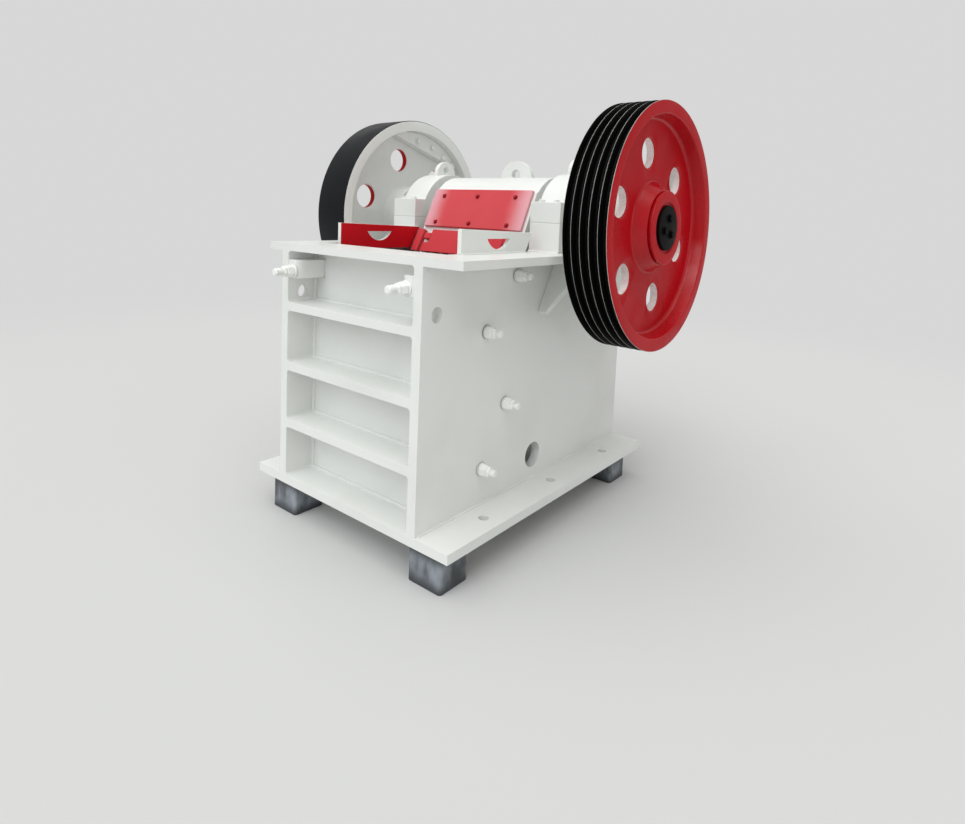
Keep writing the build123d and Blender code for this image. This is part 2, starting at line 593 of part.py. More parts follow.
def feet():
    """Four square blocks with rounded corners under the ends of the base."""
    blocks = []
    for side in SIDES.values():
        inner = SIDE_OUTER_X - (FOOT_UNDER_RIGHT_SIDE if side > 0 else FOOT_UNDER_LEFT_SIDE)
        x = (side * inner, side * (inner + FOOT_WIDTH))
        for y in (FOOT_FROM_FRONT, FRAME_LENGTH - FOOT_FROM_REAR - FOOT_LENGTH):
            foot = block(x, (y, y + FOOT_LENGTH), (FLOOR_Z, BASE_BOTTOM_Z))
            blocks.append(fillet(foot.edges().filter_by(Axis.Z), FOOT_CORNER))
    return blocks


def turned(profile):
    """A solid of revolution about the shaft's axis, from (x, radius) points."""
    outline = make_face(Polyline(*[(x, 0, radius) for x, radius in profile], close=True))
    return Pos(0, SHAFT_Y, SHAFT_Z) * revolve(outline, Axis.X)


def web_holes(x_from, x_to):
    """The round holes of a wheel's web."""
    holes = []
    for index in range(WEB_HOLE_COUNT):
        angle = radians(WEB_HOLE_FIRST_ANGLE + index * 360 / WEB_HOLE_COUNT)
        y = SHAFT_Y - WEB_HOLE_PITCH_RADIUS * sin(angle)
        z = SHAFT_Z + WEB_HOLE_PITCH_RADIUS * cos(angle)
        holes.append(rod_x(y, z, WEB_HOLE, x_from, x_to))
    return holes


def groove_points():
    """(x, radius) points of the V grooves, from the inner edge of the sheave to its outer edge."""
    pitch = (SHEAVE_OUTER_X - SHEAVE_INNER_X) / GROOVE_COUNT
    points = []
    for index in range(GROOVE_COUNT):
        middle = SHEAVE_INNER_X + (index + 0.5) * pitch
        points.append((middle - GROOVE_MOUTH / 2, WHEEL_RADIUS))
        points.append((middle - GROOVE_BOTTOM / 2, WHEEL_RADIUS - GROOVE_DEPTH))
        points.append((middle + GROOVE_BOTTOM / 2, WHEEL_RADIUS - GROOVE_DEPTH))
        points.append((middle + GROOVE_MOUTH / 2, WHEEL_RADIUS))
    return points


def hub_points(web_outer):
    """(x, radius) points of a hub outside its web: cone, neck groove, disc and the end cap's recess."""
    neck = web_outer + HUB_CONE_LENGTH
    return [
        (web_outer, HUB_CONE_RADIUS),
        (neck, HUB_NECK_RADIUS),
        (neck, HUB_GROOVE_RADIUS),
        (neck + HUB_GROOVE_WIDTH, HUB_GROOVE_RADIUS),
        (neck + HUB_GROOVE_WIDTH, HUB_DISC_RADIUS),
        (HUB_END_X, HUB_DISC_RADIUS),
        (HUB_END_X, CAP_RECESS_RADIUS),
        (CAP_SEAT_X, CAP_RECESS_RADIUS),
        (CAP_SEAT_X, SHAFT_RADIUS + FIT_CLEARANCE),
    ]


def sheave():
    """Grooved drive wheel with a recessed, pierced web and a stepped hub."""
    bore = SHAFT_RADIUS + FIT_CLEARANCE
    web_inner = SHEAVE_WEB_OUTER_X - WEB_THICKNESS
    profile = [
        (SHEAVE_INNER_X, bore),
        (SHEAVE_INNER_X, HUB_INNER_RADIUS),
        (web_inner, HUB_INNER_RADIUS),
        (web_inner, SHEAVE_RIM_INNER_RADIUS),
        (SHEAVE_INNER_X, SHEAVE_RIM_INNER_RADIUS),
        (SHEAVE_INNER_X, WHEEL_RADIUS),
        *groove_points(),
        (SHEAVE_OUTER_X, WHEEL_RADIUS),
        (SHEAVE_OUTER_X, SHEAVE_RIM_INNER_RADIUS),
        (SHEAVE_WEB_OUTER_X, SHEAVE_RIM_INNER_RADIUS - RIM_DRAFT),
        *hub_points(SHEAVE_WEB_OUTER_X),
    ]
    wheel = turned(profile)
    for hole in web_holes(web_inner - OVERCUT, SHEAVE_WEB_OUTER_X + OVERCUT):
        wheel -= hole
    return wheel


def flywheel():
    """Smooth-rimmed wheel with a recessed, pierced web and a stepped hub."""
    bore = SHAFT_RADIUS + FIT_CLEARANCE
    web_outer = FLYWHEEL_WEB_INNER_X + WEB_THICKNESS
    edge = WHEEL_RADIUS - WHEEL_EDGE_CHAMFER
    profile = [
        (-FLYWHEEL_INNER_X, bore),
        (-FLYWHEEL_INNER_X, HUB_INNER_RADIUS),
        (-FLYWHEEL_WEB_INNER_X, HUB_INNER_RADIUS),
        (-FLYWHEEL_WEB_INNER_X, FLYWHEEL_RIM_INNER_RADIUS),
        (-FLYWHEEL_INNER_X, FLYWHEEL_RIM_INNER_RADIUS),
        (-FLYWHEEL_INNER_X, edge),
        (-FLYWHEEL_INNER_X - WHEEL_EDGE_CHAMFER, WHEEL_RADIUS),
        (-FLYWHEEL_OUTER_X + WHEEL_EDGE_CHAMFER, WHEEL_RADIUS),
        (-FLYWHEEL_OUTER_X, edge),
        (-FLYWHEEL_OUTER_X, FLYWHEEL_RIM_INNER_RADIUS),
        (-web_outer, FLYWHEEL_RIM_INNER_RADIUS - RIM_DRAFT),
        *[(-x, radius) for x, radius in hub_points(web_outer)],
    ]
    wheel = turned(profile)
    for hole in web_holes(-web_outer - OVERCUT, -FLYWHEEL_WEB_INNER_X + OVERCUT):
        wheel -= hole
    return wheel


def flywheel_counterweight():
    """Cast segment inside the flywheel's rim, on the machine side of its web."""
    radius = FLYWHEEL_RIM_INNER_RADIUS - COUNTERWEIGHT_CLEARANCE
    disc = Rot(0, 90, 0) * Cylinder(radius, COUNTERWEIGHT_THICKNESS)
    chord = FLYWHEEL_RIM_INNER_RADIUS - COUNTERWEIGHT_DEPTH
    below = Pos(0, 0, chord - radius) * Box(2 * radius, 2 * radius, 2 * radius)
    segment = Rot(-COUNTERWEIGHT_ANGLE, 0, 0) * (disc - below)
    return Pos(-FLYWHEEL_WEB_INNER_X + COUNTERWEIGHT_THICKNESS / 2, SHAFT_Y, SHAFT_Z) * segment


def shaft_end_cap(side):
    """Round cap over the end of the shaft."""
    return rod_x(SHAFT_Y, SHAFT_Z, 2 * CAP_RADIUS, side * CAP_SEAT_X, side * SHAFT_END_X)


def clamp_heel():
    """The (y, z) point where the back of the clamp meets the top edge of the jaw plate."""
    face = across(JAW_FACE_TOP, JAW_FACE_BOTTOM)
    clamp = across(CLAMP_TOP, JAW_FACE_TOP)
    return moved(JAW_FACE_TOP, face, -CLAMP_THICKNESS / (face[0] * clamp[0] + face[1] * clamp[1]))


def swing_jaw():
    """Jaw casting: head round the shaft, slab with ribs behind it, toggle seat and lifting lug."""
    face = across(JAW_FACE_TOP, JAW_FACE_BOTTOM)
    shield = across(SHIELD_TOP, SHIELD_BOTTOM)
    clamp = across(CLAMP_TOP, JAW_FACE_TOP)
    back = JAW_PLATE_THICKNESS + JAW_SLAB_THICKNESS
    width = (-JAW_HEAD_HALF_WIDTH, JAW_HEAD_HALF_WIDTH)
    slab = [
        moved(SHIELD_TOP, shield, -SHIELD_THICKNESS),
        moved(SHIELD_BOTTOM, shield, -SHIELD_THICKNESS),
        moved(CLAMP_TOP, clamp, -CLAMP_THICKNESS),
        clamp_heel(),
        moved(JAW_FACE_TOP, face, -JAW_PLATE_THICKNESS),
        moved(JAW_FACE_BOTTOM, face, -JAW_PLATE_THICKNESS),
        moved(JAW_FACE_BOTTOM, face, -back),
        moved(JAW_FACE_TOP, face, -back),
        (SHAFT_Y, SHAFT_Z),
    ]
    casting = side_prism(slab, *width)
    casting += rod_x(SHAFT_Y, SHAFT_Z, 2 * JAW_HEAD_RADIUS, *width)
    head_angle = radians(JAW_RIB_HEAD_ANGLE)
    rib_outline = [
        moved(JAW_FACE_BOTTOM, face, -back),
        moved(JAW_FACE_TOP, face, -back),
        (SHAFT_Y, SHAFT_Z),
        (SHAFT_Y + JAW_HEAD_RADIUS * cos(head_angle), SHAFT_Z - JAW_HEAD_RADIUS * sin(head_angle)),
        (TOGGLE_FRONT[0], TOGGLE_FRONT[1] + TOGGLE_SEAT_HEIGHT / 2),
    ]
    half_rib = JAW_RIB_THICKNESS / 2
    for middle in (-JAW_HEAD_HALF_WIDTH + half_rib, 0, JAW_HEAD_HALF_WIDTH - half_rib):
        casting += side_prism(rib_outline, middle - half_rib, middle + half_rib)
    seat_face = TOGGLE_FRONT[0] - TOGGLE_THICKNESS / 2 - TOGGLE_PIVOT_CLEARANCE + TOGGLE_SEAT_DEPTH
    half_seat = TOGGLE_SEAT_HEIGHT / 2
    seat = [
        (jaw_face_at(TOGGLE_FRONT[1] - half_seat, back), TOGGLE_FRONT[1] - half_seat),
        (seat_face, TOGGLE_FRONT[1] - half_seat),
        (seat_face, TOGGLE_FRONT[1] + half_seat),
        (jaw_face_at(TOGGLE_FRONT[1] + half_seat, back), TOGGLE_FRONT[1] + half_seat),
    ]
    casting += side_prism(seat, *width)
    casting -= toggle_groove(TOGGLE_FRONT)
    casting += jaw_lug()
    return casting - shaft_hole(RUNNING_CLEARANCE)


def jaw_lug():
    """Lifting lug on the back of the jaw's head, facing the front."""
    middle = SHAFT_Y + JAW_LUG_BEHIND_SHAFT
    y = (middle - JAW_LUG_THICKNESS / 2, middle + JAW_LUG_THICKNESS / 2)
    radius = JAW_LUG_WIDTH / 2
    shoulder_z = SHAFT_Z + JAW_LUG_TOP - radius
    lug = block((-radius, radius), y, (SHAFT_Z + SHAFT_RADIUS, shoulder_z))
    lug += rod_y(0, shoulder_z, JAW_LUG_WIDTH, *y)
    return lug - rod_y(0, SHAFT_Z + JAW_LUG_HOLE_HEIGHT, JAW_LUG_HOLE, y[0] - OVERCUT, y[1] + OVERCUT)


def jaw_shield():
    """Cover plate in front of the jaw's head."""
    back = across(SHIELD_TOP, SHIELD_BOTTOM)
    outline = [
        SHIELD_TOP,
        SHIELD_BOTTOM,
        moved(SHIELD_BOTTOM, back, -SHIELD_THICKNESS),
        moved(SHIELD_TOP, back, -SHIELD_THICKNESS),
    ]
    return side_prism(outline, -SHIELD_HALF_WIDTH, SHIELD_HALF_WIDTH)


def jaw_clamp_plate():
    """Clamp over the top of the jaw plate, notched at its upper corners, with blocks and keeper bars."""
    back = across(CLAMP_TOP, JAW_FACE_TOP)
    down = (-back[1], back[0])
    outline = [CLAMP_TOP, JAW_FACE_TOP, clamp_heel(), moved(CLAMP_TOP, back, -CLAMP_THICKNESS)]
    notch_inner = CLAMP_HALF_WIDTH - CLAMP_NOTCH_WIDTH
    notch_end = moved(CLAMP_TOP, down, CLAMP_NOTCH_DEPTH)
    lower = [notch_end, JAW_FACE_TOP, clamp_heel(), moved(notch_end, back, -CLAMP_THICKNESS)]
    clamp = side_prism(outline, -notch_inner, notch_inner)
    clamp += side_prism(lower, -CLAMP_HALF_WIDTH, CLAMP_HALF_WIDTH)
    head = moved(CLAMP_TOP, down, CLAMP_BLOCK_DROP)
    heel = moved(head, down, CLAMP_BLOCK_LENGTH)
    block_outline = [head, heel, moved(heel, back, -CLAMP_THICKNESS), moved(head, back, -CLAMP_THICKNESS)]
    block_inner = notch_inner + CLAMP_BLOCK_GAP
    keeper_inner = KEEPER_OUTER_X - KEEPER_WIDTH
    pieces = [clamp]
    for side in SIDES.values():
        pieces.append(side_prism(block_outline, side * block_inner, side * (block_inner + CLAMP_BLOCK_WIDTH)))
        pieces.append(side_prism(outline, side * keeper_inner, side * KEEPER_OUTER_X))
    return pieces


def swing_jaw_plate():
    """Toothed plate on the front of the swing jaw."""
    face = across(JAW_FACE_TOP, JAW_FACE_BOTTOM)
    run, height = JAW_FACE_TOP[0] - JAW_FACE_BOTTOM[0], JAW_FACE_TOP[1] - JAW_FACE_BOTTOM[1]
    rise = hypot(run, height)
    lean = degrees(atan2(run, height))
    outline = toothed_outline(JAW_PLATE_HALF_WIDTH, JAW_PLATE_THICKNESS, 0)
    plate = extrude(outline, amount=rise, dir=(0, 0, 1))
    foot = moved(JAW_FACE_BOTTOM, face, -JAW_PLATE_THICKNESS)
    return Pos(0, *foot) * Rot(-lean, 0, 0) * plate


def nodes():
    """Every node of the crusher, by name, in machine axes."""
    made = {
        "front_sill": between_sides((0, FRONT_WALL_BACK_Y), (BASE_BOTTOM_Z, 0)),
        "front_wall": between_sides((RIB_DEPTH, FRONT_WALL_BACK_Y), (0, SIDE_HEIGHT)),
        "top_plate_front": top_plate_front(),
        "rear_wall": rear_wall(),
        "rear_ribs": rear_ribs(),
        "rear_sill": between_sides((REAR_WALL_FRONT_Y, FRAME_LENGTH), (BASE_BOTTOM_Z, 0)),
        "bearing_gussets": [gusset(side, late) for side in SIDES.values() for late in (False, True)],
        "wedge_bolts": wedge_bolts(),
        "fixed_jaw_plate": fixed_jaw_plate(),
        "toggle_seat": toggle_seat(),
        "toggle_plate": toggle_plate(),
        "tension_rod": tension_rod(),
        "tension_spring": tension_spring(),
        "feet": feet(),
        "eccentric_shaft": rod_x(SHAFT_Y, SHAFT_Z, 2 * SHAFT_RADIUS, -CAP_SEAT_X, CAP_SEAT_X),
        "sheave": sheave(),
        "flywheel": flywheel(),
        "flywheel_counterweight": flywheel_counterweight(),
        "swing_jaw": swing_jaw(),
        "swing_jaw_plate": swing_jaw_plate(),
        "jaw_shield": jaw_shield(),
        "jaw_clamp_plate": jaw_clamp_plate(),
    }
    for name, z in RIB_UNDERSIDES.items():
        made[f"front_rib_{name}"] = between_sides((0, RIB_DEPTH), (z, z + RIB_THICKNESS))
    for name, side in SIDES.items():
        made[f"{name}_side_plate"] = side_plate(side)
        made[f"{name}_base_flange"] = base_flange(side)
        made[f"top_plate_{name}"] = top_plate(side)
        made[f"{name}_wedge_block"] = wedge_block(side)
        made[f"{name}_cheek_plate"] = cheek_plate(side)
        made[f"{name}_cheek_bolts"] = cheek_bolts(side)
        made[f"{name}_feed_guard"] = feed_guard(side)
        made[f"{name}_bearing_base"] = bearing_base(side)
        made[f"{name}_bearing_cap"] = bearing_cap(side)
        made[f"{name}_shaft_end_cap"] = shaft_end_cap(side)
    return made


def export(name, piece):
    """Write one node, a solid or a list of solids, at the row's origin."""
    solids = piece if isinstance(piece, list) else [piece]
    shape = Compound([TO_ORIGIN * solid for solid in solids]) if len(solids) > 1 else TO_ORIGIN * solids[0]
    export_step(shape, f"parts/{name}.step")


os.makedirs("parts", exist_ok=True)
for node_name, node_piece in nodes().items():
    export(node_name, node_piece)
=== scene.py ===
"""Jaw crusher, dressed: soft-edged painted plates, weld beads, bolts, turned wheels and a coiled spring.

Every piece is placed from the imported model's own boxes, in metres, and rides on one of its bodies.
"""
import logging
import math
from dataclasses import dataclass, field, replace
from enum import Enum
from functools import cache
from typing import Callable, Iterable, Sequence

import bmesh
import bpy
from mathutils import Matrix, Vector


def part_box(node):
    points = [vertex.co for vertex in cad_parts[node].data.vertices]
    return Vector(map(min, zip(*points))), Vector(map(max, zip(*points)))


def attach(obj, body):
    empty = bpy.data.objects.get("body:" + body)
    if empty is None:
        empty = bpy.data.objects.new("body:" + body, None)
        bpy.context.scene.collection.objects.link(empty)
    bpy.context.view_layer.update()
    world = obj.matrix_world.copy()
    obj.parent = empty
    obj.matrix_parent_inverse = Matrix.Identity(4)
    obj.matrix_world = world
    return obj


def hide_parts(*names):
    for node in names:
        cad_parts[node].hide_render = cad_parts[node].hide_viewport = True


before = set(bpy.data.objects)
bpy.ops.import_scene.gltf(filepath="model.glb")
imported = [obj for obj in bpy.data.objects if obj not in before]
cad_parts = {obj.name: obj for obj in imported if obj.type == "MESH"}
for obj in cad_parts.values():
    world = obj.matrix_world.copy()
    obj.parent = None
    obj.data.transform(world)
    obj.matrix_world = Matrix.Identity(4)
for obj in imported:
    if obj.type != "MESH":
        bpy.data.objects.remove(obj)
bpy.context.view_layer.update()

LOG = logging.getLogger("jaw_crusher")

Colour = tuple[float, float, float]
Point2 = tuple[float, float]
Point3 = tuple[float, float, float]
Line = tuple[Point3, Point3]
Spot = tuple[Vector, Vector]
Socket = bpy.types.NodeSocket
Piece = bpy.types.Object

MERGE_DISTANCE = 0.00002
SLIVER = 0.00001
SNAP_DIGITS = 5
FLAT_ANGLE = math.radians(0.6)
BEVEL_ANGLE = math.radians(32)
SHARP_ANGLE = math.radians(34)
FLAT_WEIGHT = 80
CORNER_STEPS = 4
CORNER_REACH = 0.49
STRAIGHT_HALF_ANGLE = math.radians(88)
NO_CUT = 1e-9


class Body(Enum):
    """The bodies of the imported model."""

    FRAME = "frame"
    ROTOR = "rotor"
    SWING_JAW = "swing_jaw"


class Slot(Enum):
    """The record's material slots."""

    FRAME_PAINT = "frame_paint"
    BOLT_STEEL = "bolt_steel"
    JAW_STEEL = "jaw_steel"
    WHEEL_PAINT = "wheel_paint"
    CAP_PAINT = "cap_paint"
    FOOT_PAINT = "foot_paint"


class Side(Enum):
    """The two sides of the machine along the shaft."""

    RIGHT = "right"
    LEFT = "left"

    @property
    def sign(self) -> int:
        """+1 on the sheave's side, -1 on the flywheel's."""
        return 1 if self is Side.RIGHT else -1

    def outward(self, low: float, high: float) -> Point2:
        """Two places along the shaft, in order from the machine's middle outwards."""
        return (low, high) if self is Side.RIGHT else (high, low)


class Joining(Enum):
    """How two solids are put together: the operation and the solver for it."""

    ADD = ("UNION", "EXACT")
    CUT = ("DIFFERENCE", "MANIFOLD")


@dataclass(frozen=True)
class Grain:
    """Noise on a piece's own coordinates: cells per metre, octaves, the range that counts and its stretch."""

    scale: float
    detail: float
    low: float = 0.0
    high: float = 1.0
    stretch: Point3 = (1, 1, 1)


@dataclass(frozen=True)
class Relief:
    """Fine relief: its grain, its real depth in metres and how strongly it is seen."""

    grain: Grain
    depth: float
    strength: float


class NodeGraph:
    """A node tree while it is being built."""

    def __init__(self, tree: bpy.types.NodeTree) -> None:
        """Work on a tree."""
        self.tree = tree

    def feed(self, socket: Socket, value: object) -> None:
        """Link another socket into an input, or set the input's own value.

        Args:
            socket: The input to feed.
            value: A socket to link, or a plain value.
        """
        if isinstance(value, Socket):
            self.tree.links.new(value, socket)
        else:
            socket.default_value = value

    def add(self, kind: str, inputs: dict[object, object] | None = None, **values: object) -> bpy.types.Node:
        """Add a node, set its properties and feed its inputs.

        Args:
            kind: The node's type name.
            inputs: Sockets or values by input name or number.
            values: Properties of the node, by name.

        Returns:
            The new node.
        """
        node = self.tree.nodes.new(kind)
        for key, value in values.items():
            setattr(node, key, value)
        for key, value in (inputs or {}).items():
            self.feed(node.inputs[key], value)
        return node

    def math(self, operation: str, first: object, second: object = 0.0) -> Socket:
        """One sum of two values or sockets, such as ADD."""
        return self.add("ShaderNodeMath", {0: first, 1: second}, operation=operation).outputs[0]


class ShaderGraph(NodeGraph):
    """A material's node tree while a finish is being mixed."""

    def __init__(self, name: str) -> None:
        """Start a material with a principled surface.

        Args:
            name: The material's name.
        """
        self.material = bpy.data.materials.new(name)
        self.material.use_nodes = True
        super().__init__(self.material.node_tree)
        self.surface = self.tree.nodes["Principled BSDF"]
        self.place = self.add("ShaderNodeTexCoord").outputs["Object"]

    def axis(self, name: str) -> Socket:
        """One of the piece's own coordinates."""
        return self.add("ShaderNodeSeparateXYZ", {"Vector": self.place}).outputs[name]

    def noise(self, grain: Grain) -> Socket:
        """A grain's raw noise, from 0 to 1.

        Args:
            grain: The grain.

        Returns:
            The noise.
        """
        place = self.add("ShaderNodeMapping", {"Vector": self.place, "Scale": grain.stretch})
        node = self.add("ShaderNodeTexNoise", {
            "Vector": place.outputs["Vector"], "Scale": grain.scale, "Detail": grain.detail})
        return node.outputs["Fac"]

    def between(self, value: object, low: float, high: float, to_low: float = 0.0,
                to_high: float = 1.0) -> Socket:
        """Map a range smoothly to another one and clamp it.

        Args:
            value: The value to map.
            low: Value that gives to_low.
            high: Value that gives to_high.
            to_low: Result at the low end.
            to_high: Result at the high end.

        Returns:
            The mapped value.
        """
        node = self.add("ShaderNodeMapRange", {
            "Value": value, "From Min": low, "From Max": high, "To Min": to_low, "To Max": to_high,
        }, interpolation_type="SMOOTHSTEP")
        return node.outputs["Result"]

    def patches(self, grain: Grain, to_low: float = 0.0, to_high: float = 1.0) -> Socket:
        """A grain's noise, mapped from its own range to another one."""
        return self.between(self.noise(grain), grain.low, grain.high, to_low, to_high)

    def mix(self, share: object, first: object, second: object) -> Socket:
        """Blend two colours.

        Args:
            share: Share of the second colour.
            first: Colour or socket at 0.
            second: Colour or socket at 1.

        Returns:
            The blended colour.
        """
        node = self.add("ShaderNodeMix", {"Factor": share}, data_type="RGBA")
        for name, value in (("A", first), ("B", second)):
            socket = next(s for s in node.inputs if s.name == name and s.type == "RGBA")
            self.feed(socket, value if isinstance(value, Socket) else (*value, 1.0))
        return next(s for s in node.outputs if s.type == "RGBA")

    def bump(self, relief: Relief, under: Socket | None = None) -> Socket:
        """Bend the normal by a relief.

        Args:
            relief: The relief.
            under: Another bent normal that it lies on.

        Returns:
            The bent normal.
        """
        node = self.add("ShaderNodeBump", {
            "Distance": relief.depth, "Strength": relief.strength, "Height": self.noise(relief.grain)})
        if under is not None:
            self.feed(node.inputs["Normal"], under)
        return node.outputs["Normal"]

    def finish(self, inputs: dict[str, object]) -> bpy.types.Material:
        """Feed the surface and hand out the material.

        Args:
            inputs: Sockets or values by the surface's input names.

        Returns:
            The finished material.
        """
        for name, value in inputs.items():
            self.feed(self.surface.inputs[name], value)
        return self.material


@dataclass(frozen=True)
class Finish:
    """What every finish has: a colour, a second one in places, and a roughness."""

    name: str
    colour: Colour
    second: Colour
    roughness: float

    def material(self) -> bpy.types.Material:
        """Mix the finish, which each kind does in its own way."""
        raise NotImplementedError


@dataclass(frozen=True, kw_only=True)
class Enamel(Finish):
    """Sprayed enamel with soft clouds, fine peel and a few settled specks."""

    speck: Colour
    gloss: float
    coat: float = 0.0
    coat_roughness: float = 0.12
    clouds: Grain = Grain(2.6, 5.0, 0.42, 0.74)
    specks: Grain = Grain(150.0, 2.0, 0.745, 0.79)
    speck_share: float = 0.35
    wear: Grain = Grain(9.0, 4.0, 0.3, 0.75)
    smoother: float = 0.06
    duller: float = 0.10
    peel: Relief = Relief(Grain(240.0, 2.0), 0.00025, 0.55)
    ripple: Relief = Relief(Grain(24.0, 2.0), 0.001, 0.25)

    def mixed(self, graph: ShaderGraph) -> Socket:
        """The paint's colour with its clouds and specks."""
        clouded = graph.mix(graph.patches(self.clouds), self.colour, self.second)
        return graph.mix(graph.patches(self.specks, 0.0, self.speck_share), clouded, self.speck)

    def material(self) -> bpy.types.Material:
        """Mix the paint."""
        graph = ShaderGraph(self.name)
        return graph.finish({
            "Base Color": self.mixed(graph), "Specular IOR Level": self.gloss,
            "Coat Weight": self.coat, "Coat Roughness": self.coat_roughness,
            "Roughness": graph.patches(
                self.wear, self.roughness - self.smoother, self.roughness + self.duller),
            "Normal": graph.bump(self.ripple, graph.bump(self.peel)),
        })


@dataclass(frozen=True, kw_only=True)
class FadedEnamel(Enamel):
    """Enamel that fades to a paler pink tone towards the left and right ends of a wide plate."""

    faded: Colour
    clear_half_width: float = 0.15
    half_width: float = 0.26
    fray: Grain = Grain(7.0, 4.0)
    fray_width: float = 0.05

    def mixed(self, graph: ShaderGraph) -> Socket:
        """The paint's colour with its clouds, specks and faded ends.

        Args:
            graph: The material being mixed.

        Returns:
            The colour.
        """
        fray = graph.math("MULTIPLY", graph.noise(self.fray), self.fray_width)
        reach = graph.math("ADD", graph.math("ABSOLUTE", graph.axis("X")), fray)
        reach = graph.math("SUBTRACT", reach, self.fray_width / 2)
        share = graph.between(reach, self.clear_half_width, self.half_width)
        return graph.mix(share, super().mixed(graph), self.faded)


@dataclass(frozen=True, kw_only=True)
class ReflectionStreakedPaint(Finish):
    """Paint over a rolled box section, with pale streaks that run down it between two heights; the streaks
    paint a reflection on it, broken up by noise.
    """

    low: float
    high: float
    fading: float = 0.4
    streaks: Grain = Grain(16.0, 3.0, 0.28, 0.68, (1, 1, 0.45))
    smoother: float = 0.10
    duller: float = 0.12
    tooth: Relief = Relief(Grain(110.0, 3.0), 0.0004, 0.5)

    def material(self) -> bpy.types.Material:
        """Mix the paint.

        Returns:
            The material.
        """
        graph = ShaderGraph(self.name)
        # The pale streaks between the two heights are a painted reflection.
        streaks, height = graph.patches(self.streaks), graph.axis("Z")
        margin = self.fading * (self.high - self.low)
        above = graph.between(height, self.low, self.low + margin)
        below = graph.between(height, self.high, self.high - margin)
        share = graph.math("MULTIPLY", streaks, graph.math("MULTIPLY", above, below))
        smooth, dull = self.roughness - self.smoother, self.roughness + self.duller
        return graph.finish({
            "Base Color": graph.mix(share, self.colour, self.second),
            "Roughness": graph.between(streaks, 0.0, 1.0, smooth, dull),
            "Normal": graph.bump(self.tooth),
        })


@dataclass(frozen=True, kw_only=True)
class CastSteel(Finish):
    """Cast wear-resistant steel: dark, grained, with brown bloom in places."""

    metal: float
    bloom: Grain = Grain(14.0, 6.0, 0.5, 0.75)
    bloom_share: float = 0.7
    wear: Grain = Grain(40.0, 4.0, 0.3, 0.7)
    smoother: float = 0.12
    duller: float = 0.15
    skin: Relief = Relief(Grain(170.0, 5.0), 0.0012, 0.6)

    def material(self) -> bpy.types.Material:
        """Mix the metal."""
        graph = ShaderGraph(self.name)
        return graph.finish({
            "Metallic": self.metal,
            "Base Color": graph.mix(
                graph.patches(self.bloom, 0.0, self.bloom_share), self.colour, self.second),
            "Roughness": graph.patches(
                self.wear, self.roughness - self.smoother, self.roughness + self.duller),
            "Normal": graph.bump(self.skin),
        })


@dataclass(frozen=True, kw_only=True)
class TurnedSteel(Finish):
    """Bright turned steel with fine tool marks round the x axis."""

    tarnish: Grain = Grain(18.0, 5.0, 0.4, 0.75)
    marks: Grain = Grain(500.0, 2.0, 0.3, 0.7, (1, 0.05, 0.05))
    mark_depth: float = 0.0001
    mark_strength: float = 0.4
    smoother: float = 0.08
    duller: float = 0.12

    def material(self) -> bpy.types.Material:
        """Mix the metal."""
        graph = ShaderGraph(self.name)
        return graph.finish({
            "Metallic": 1.0,
            "Base Color": graph.mix(graph.patches(self.tarnish), self.colour, self.second),
            "Roughness": graph.patches(
                self.marks, self.roughness - self.smoother, self.roughness + self.duller),
            "Normal": graph.bump(Relief(self.marks, self.mark_depth, self.mark_strength)),
        })


RED_SPECK = (0.3, 0.02, 0.03)
GREY_SPECK = (0.03, 0.03, 0.03)
WHITE = Enamel("white_enamel", (0.80, 0.81, 0.792), (0.745, 0.755, 0.735), 0.38,
               speck=(0.34, 0.33, 0.29), gloss=0.35, coat=0.08)
# Brighter than the frame's white: fresher paint, and also painted light that the nuts catch.
BOLT_WHITE = Enamel("bolt_white_enamel", (0.90, 0.905, 0.89), (0.84, 0.845, 0.83), 0.3,
                    speck=(0.3, 0.29, 0.26), gloss=0.4, coat=0.1)
RED = Enamel("red_enamel", (0.47, 0.004, 0.010), (0.39, 0.003, 0.007), 0.30,
             speck=(0.22, 0.003, 0.005), gloss=0.08)
GLOSS_RED = replace(RED, name="gloss_red_enamel", roughness=0.22, gloss=0.32)
GUARD_RED = Enamel("guard_red_enamel", (0.72, 0.012, 0.022), (0.66, 0.009, 0.017), 0.36,
                   speck=RED_SPECK, gloss=0.12)
# Pinker than the guards' red: the clamp's own red with a painted reflection washing over it.
CLAMP_RED = Enamel("clamp_red_enamel", (0.60, 0.048, 0.060), (0.54, 0.036, 0.046), 0.38,
                   speck=RED_SPECK, gloss=0.15)
SHIELD_RED = FadedEnamel("shield_red_enamel", (0.64, 0.072, 0.084), (0.60, 0.052, 0.064), 0.38,
                         speck=RED_SPECK, gloss=0.2, faded=(0.74, 0.36, 0.40))
BOLT_RED = Enamel("bolt_red_enamel", (0.34, 0.014, 0.022), (0.26, 0.009, 0.015), 0.36,
                  speck=(0.08, 0.002, 0.004), gloss=0.2)
SPECKLED = Enamel("speckled_enamel", (0.88, 0.82, 0.81), (0.82, 0.66, 0.66), 0.55,
                  speck=(0.52, 0.12, 0.14), gloss=0.2, clouds=Grain(60.0, 5.0, 0.42, 0.74),
                  specks=Grain(520.0, 2.0, 0.60, 0.645), speck_share=0.7)
BLACK = Enamel("black_enamel", (0.0035, 0.004, 0.0036), (0.006, 0.007, 0.0065), 0.36,
               speck=GREY_SPECK, gloss=0.03)
GROOVE_BLACK = Enamel("groove_black", (0.0016, 0.0018, 0.0016), (0.003, 0.003, 0.003), 0.5,
                      speck=(0.01, 0.01, 0.01), gloss=0.06)
SATIN_BLACK = Enamel("satin_black_enamel", (0.004, 0.005, 0.0065), (0.007, 0.0085, 0.0105), 0.34,
                     speck=GREY_SPECK, gloss=0.14)
